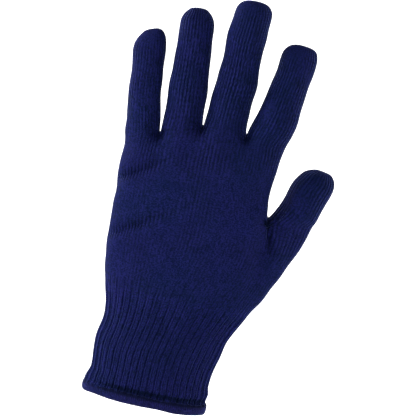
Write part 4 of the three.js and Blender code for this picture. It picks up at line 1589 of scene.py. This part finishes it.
@dataclass(frozen=True)
class KnitFinish:
    """Fine navy knit: its yarn's colours, its stitches and its fuzz."""

    name: str
    yarn: Colour  # this and all the colours are linear
    groove: Colour  # the yarn in the shade of its neighbours
    bloom: Colour  # where the yarn is rubbed up into a light fuzz
    plum: Colour  # the slight red of some of the yarn
    mottling: float  # how far the clouds of colour go, from 0 to 1
    speckle: float  # how dark single stitches are, from 0 to 1
    shade_unevenness: float  # how unevenly the painted shade of the grooves shows
    stitch_height: float  # in millimetres
    lean: float  # how steeply a stitch's two legs lean
    gloss: float = 0.02
    sheen: float = 0.17
    sheen_spread: float = 0.17
    sheen_tint: Colour = (0.25, 0.35, 1.0)

    DRIFT = Cloud(size=45.0, detail=1.0)
    CLOUDS = Cloud(size=9.0, detail=4.0, rough=0.65)
    FLECKS = Cloud(size=1.1, detail=3.0, rough=0.8)
    FIBRES = Cloud(size=0.35, detail=2.0, rough=0.7)
    TONE_SHARE = 0.25  # how much of the flecks is the tone of a stitch's legs
    TONES = 3.0  # to a wale, and to a course
    LEG_SHARE = 0.25  # how much of a stitch's height is its legs, and not its wale
    # Where each of these starts to show, and where it is full
    PLUM_STEP = (0.4, 0.65)
    CLOUD_STEP = (0.1, 0.6)
    BLOOM_STEP = (0.42, 0.64)
    PALE_STEP = (0.36, 0.56)
    PAINTED_LIGHT_STEP = (-0.1, 0.8)
    STITCH_STEP = (-1.2, 0.3)
    # Heights of the bump, as shares of stitch_height
    STITCH_RISE = 0.7
    FIBRE_RISE = 0.35
    FLECK_RISE = 0.45
    ROUGHNESS = 0.78
    ROUGHNESS_SPREAD = 0.2  # how much rougher the fibres' crests are

    def material(self) -> bpy.types.Material:
        """Makes the finish, or gives the one already made.

        Returns:
            The material.
        """
        made = bpy.data.materials.get(self.name)
        if made:
            return made
        made = bpy.data.materials.new(self.name)
        g = Graph(made)
        place = g.node("ShaderNodeTexCoord").outputs["Object"]
        clear = g.node("ShaderNodeAttribute", attribute_name="clear").outputs["Fac"]
        stitch = g.math("MULTIPLY", self.stitches(g), clear)
        fibres = g.noise(place, self.FIBRES)
        flecks = g.math("MULTIPLY", g.noise(place, self.FLECKS), 1 - self.TONE_SHARE)
        flecks = g.math("MULTIPLY_ADD", self.tones(g), self.TONE_SHARE, flecks)

        shader = g.node("ShaderNodeBsdfPrincipled")
        g.feed(shader.inputs["Base Color"], self.colour(g, place, flecks, stitch))
        g.feed(shader.inputs["Normal"], self.bump(g, fibres, flecks, stitch))
        rough = g.math("MULTIPLY_ADD", fibres, self.ROUGHNESS_SPREAD, self.ROUGHNESS)
        g.feed(shader.inputs["Roughness"], rough)
        shader.inputs["Specular IOR Level"].default_value = self.gloss
        shader.inputs["Sheen Weight"].default_value = self.sheen
        shader.inputs["Sheen Roughness"].default_value = self.sheen_spread
        shader.inputs["Sheen Tint"].default_value = (*self.sheen_tint, 1.0)
        output = g.node("ShaderNodeOutputMaterial")
        g.feed(output.inputs["Surface"], shader.outputs["BSDF"])
        return made

    def colour(self, g: Graph, place: Socket, flecks: Socket, stitch: Socket) -> Socket:
        """The colour of the knit: mottled with fuzz, and darkened with painted shade in its grooves and
        between its stitches.

        Args:
            g: The material's nodes.
            place: The coordinates of the knit.
            flecks: The tone of its flecks.
            stitch: The height of its stitches.

        Returns:
            The colour.
        """
        painted_light = g.node("ShaderNodeAttribute", attribute_name="painted_light").outputs["Fac"]
        clouds = g.step(g.noise(place, self.CLOUDS), *self.CLOUD_STEP)
        drift = g.step(g.noise(place, self.DRIFT), *self.PLUM_STEP)
        made = g.blend(drift, (*self.yarn, 1.0), (*self.plum, 1.0))
        speck = g.math("MULTIPLY", g.step(flecks, *self.BLOOM_STEP), self.mottling)
        made = g.blend(g.math("MULTIPLY", speck, clouds), made, (*self.bloom, 1.0))
        # Painted shade: the groove colour comes in where the painted light is low, broken up unevenly by
        # the flecks, and between the stitches' legs
        uneven_light = g.math("MULTIPLY_ADD", flecks, self.shade_unevenness, g.math("SUBTRACT", painted_light, self.shade_unevenness / 2))
        between = g.step(stitch, *self.STITCH_STEP)
        unshaded_share = g.math("MULTIPLY", g.step(uneven_light, *self.PAINTED_LIGHT_STEP), between)
        pale = g.step(flecks, *self.PALE_STEP)
        pale = g.math("MULTIPLY_ADD", pale, self.speckle, 1 - self.speckle)
        return g.blend(g.math("MULTIPLY", unshaded_share, pale), (*self.groove, 1.0), made)

    def bump(self, g: Graph, fibres: Socket, flecks: Socket, stitch: Socket) -> Socket:
        """The fine relief of the knit.

        Args:
            g: The material's nodes.
            fibres: The noise of its fibres.
            flecks: The tone of its flecks.
            stitch: The height of its stitches.

        Returns:
            The bumped normal.
        """
        rise = g.math("MULTIPLY", stitch, self.STITCH_RISE)
        rise = g.math("MULTIPLY_ADD", fibres, self.FIBRE_RISE, rise)
        rise = g.math("MULTIPLY_ADD", flecks, self.FLECK_RISE, rise)
        made = g.node("ShaderNodeBump")
        made.inputs["Strength"].default_value = 1.0
        made.inputs["Distance"].default_value = self.stitch_height * METRES
        g.feed(made.inputs["Height"], rise)
        return made.outputs["Normal"]

    def tones(self, g: Graph) -> Socket:
        """A number from 0 to 1 for each leg of a stitch, as its fibres happen to lie.

        Args:
            g: The material's nodes.

        Returns:
            The number, the same all over one leg.
        """
        uv = g.node("ShaderNodeUVMap", uv_map="knit").outputs["UV"]
        legs = g.node("ShaderNodeVectorMath", operation="SCALE")
        g.feed(legs.inputs[0], uv)
        legs.inputs["Scale"].default_value = self.TONES
        cell = g.node("ShaderNodeVectorMath", operation="FLOOR")
        g.feed(cell.inputs[0], legs.outputs[0])
        made = g.node("ShaderNodeTexWhiteNoise", noise_dimensions="2D")
        g.feed(made.inputs["Vector"], cell.outputs[0])
        return made.outputs["Value"]

    def stitches(self, g: Graph) -> Socket:
        """The height of the stitches, each with two legs that lean together.

        Args:
            g: The material's nodes.

        Returns:
            A height from about -1 between the stitches to 1 on their legs.
        """
        uv = g.node("ShaderNodeUVMap", uv_map="knit").outputs["UV"]
        parts = g.node("ShaderNodeSeparateXYZ")
        g.feed(parts.inputs[0], uv)
        wale, course = parts.outputs[0], parts.outputs[1]
        off = g.math("ABSOLUTE", g.math("SUBTRACT", g.math("FRACT", wale), 0.5))
        place = g.math("MULTIPLY_ADD", off, self.lean, course)
        leg = g.math("COSINE", g.math("MULTIPLY", place, TAU))
        side = g.math("COSINE", g.math("MULTIPLY", off, TAU))
        leg = g.math("MULTIPLY", leg, self.LEG_SHARE)
        return g.math("MULTIPLY_ADD", side, 1 - self.LEG_SHARE, leg)


@dataclass(frozen=True)
class Lamp:
    """A soft light that looks at the liner."""

    name: str
    place: Place
    size: float  # the width of its face
    power: float  # in watts


@dataclass
class Studio:
    """A white sweep, soft lights and the camera."""

    floor_z: float = -320.0
    radius: float = 2600.0
    facets: int = 64
    sweep: float = 1200.0  # radius of the bend from the floor to the wall
    bend_steps: int = 13
    wall_height: float = 2600.0
    floor_hole: float = 1.0  # radius of the floor's middle face
    white: float = 0.9  # of the sweep
    matt: float = 0.9
    glow: float = 0.42
    air: float = 0.6  # strength of the light from all round
    elevation: float = 5.5  # of the camera over the liner's middle, in degrees
    roll: float = 12.0  # of the camera about its own line of sight, in degrees
    distance: float = 900.0
    span: float = 249.6  # the picture's width at that distance
    target: Place = (13.15, 0.0, 122.95)
    sensor: float = 36.0
    sight: tuple[float, float] = (0.01, 50.0)  # nearest and farthest, in metres

    LAMPS = [
        Lamp("key", place=(-1260.0, -330.0, 420.0), size=600.0, power=40.0),
        Lamp("fill", place=(600.0, -1200.0, 900.0), size=900.0, power=2.5),
        Lamp("rim", place=(-950.0, 500.0, 300.0), size=500.0, power=22.0),
        Lamp("thumb_rim", place=(1100.0, 180.0, 200.0), size=500.0, power=15.0),
    ]

    def build(self) -> None:
        """Sets up the sweep, the lights and the camera."""
        self.add_sweep()
        for lamp in self.LAMPS:
            self.add_light(lamp)
        world = bpy.data.worlds.new("studio_air")
        world.use_nodes = True
        air = world.node_tree.nodes["Background"]
        air.inputs["Color"].default_value = (1.0, 1.0, 1.0, 1.0)
        air.inputs["Strength"].default_value = self.air
        bpy.context.scene.world = world
        bpy.context.scene.view_settings.view_transform = "Standard"
        self.add_camera()

    def add_sweep(self) -> None:
        """Builds the round floor, which bends up into a wall all round the liner."""
        bend = [
            (
                self.radius - self.sweep + self.sweep * math.sin(a),
                self.floor_z + self.sweep * (1 - math.cos(a)),
            )
            for a in np.linspace(0, math.pi / 2, self.bend_steps)
        ]
        side = [(self.floor_hole, self.floor_z), *bend, (self.radius, self.wall_height)]
        turns = [TAU * n / self.facets for n in range(self.facets)]
        points = [
            (r * math.cos(a) * METRES, r * math.sin(a) * METRES, z * METRES)
            for r, z in side
            for a in turns
        ]
        faces = [tuple(range(self.facets))]
        for ring in range(len(side) - 1):
            for n in range(self.facets):
                m = (n + 1) % self.facets
                low, high = ring * self.facets, (ring + 1) * self.facets
                faces.append((low + m, low + n, high + n, high + m))
        mesh = bpy.data.meshes.new("studio_sweep")
        mesh.from_pydata(points, [], faces)
        mesh.polygons.foreach_set("use_smooth", [True] * len(faces))
        material = bpy.data.materials.new("studio_white")
        g = Graph(material)
        shader = g.node("ShaderNodeBsdfPrincipled")
        shader.inputs["Base Color"].default_value = (self.white, self.white, self.white, 1.0)
        shader.inputs["Roughness"].default_value = self.matt
        shader.inputs["Emission Color"].default_value = (1.0, 1.0, 1.0, 1.0)
        shader.inputs["Emission Strength"].default_value = self.glow
        output = g.node("ShaderNodeOutputMaterial")
        g.feed(output.inputs["Surface"], shader.outputs["BSDF"])
        mesh.materials.append(material)
        sweep = bpy.data.objects.new("studio_sweep", mesh)
        bpy.context.scene.collection.objects.link(sweep)

    def add_light(self, lamp: Lamp) -> None:
        """Adds a soft light that looks at the liner.

        Args:
            lamp: The light.
        """
        data = bpy.data.lights.new(lamp.name, "AREA")
        data.size = lamp.size * METRES
        data.energy = lamp.power
        made = bpy.data.objects.new(lamp.name, data)
        made.location = Vector(lamp.place) * METRES
        way = Vector(self.target) * METRES - made.location
        made.rotation_euler = way.to_track_quat("-Z", "Y").to_euler()
        bpy.context.scene.collection.objects.link(made)

    def add_camera(self) -> None:
        """Stands the camera at the photograph's viewing angle."""
        e, r = math.radians(self.elevation), math.radians(self.roll)
        ahead = Vector((0.0, math.cos(e), -math.sin(e)))
        level = Vector((1.0, 0.0, 0.0))
        upright = Vector((0.0, math.sin(e), math.cos(e)))
        right = math.cos(r) * level + math.sin(r) * upright
        up = math.cos(r) * upright - math.sin(r) * level
        data = bpy.data.cameras.new("camera")
        data.sensor_fit = "HORIZONTAL"
        data.sensor_width = self.sensor
        data.lens = data.sensor_width * self.distance / self.span
        data.clip_start, data.clip_end = self.sight
        made = bpy.data.objects.new("camera", data)
        turn = Matrix((right, up, -ahead)).transposed().to_4x4()
        place = (Vector(self.target) - ahead * self.distance) * METRES
        made.matrix_world = Matrix.Translation(place) @ turn
        bpy.context.scene.collection.objects.link(made)
        bpy.context.scene.camera = made


JERSEY = KnitFinish(
    name="navy_jersey",
    yarn=(0.0018, 0.0040, 0.0235),
    groove=(0.0004, 0.0017, 0.0080),
    bloom=(0.0056, 0.0064, 0.048),
    plum=(0.0028, 0.0037, 0.028),
    mottling=0.75,
    speckle=0.8,
    shade_unevenness=0.35,
    stitch_height=0.28,
    lean=1.1,
)
RIB = KnitFinish(
    name="navy_rib",
    yarn=(0.0022, 0.0046, 0.029),
    groove=(0.0004, 0.0017, 0.0080),
    bloom=(0.0072, 0.0074, 0.058),
    plum=(0.0034, 0.0044, 0.034),
    mottling=0.85,
    speckle=0.9,
    shade_unevenness=1.2,
    stitch_height=0.24,
    lean=1.1,
)
ROLL = KnitFinish(
    name="navy_hem",
    yarn=(0.0030, 0.0048, 0.030),
    groove=(0.0008, 0.0016, 0.0085),
    bloom=(0.0080, 0.0073, 0.053),
    plum=(0.0048, 0.0050, 0.034),
    mottling=0.7,
    speckle=0.7,
    shade_unevenness=0.9,
    stitch_height=0.26,
    lean=0.5,
)


def main() -> None:
    """Builds the liner, the studio and the camera, and reports each piece."""
    hand = HandShape()
    liner = Liner(hand, KnitRelief())
    liner.shape()
    Hem(hand).cut().build(ROLL)
    liner.cut(Section.CUFF, "cuff_knit").build(RIB)
    for section in Section:
        if section not in (Section.HEM, Section.CUFF):
            liner.cut(section, "palm_knit").build(JERSEY)
    Studio().build()


if __name__ == "__main__":
    logging.basicConfig(level=logging.INFO)
    main()
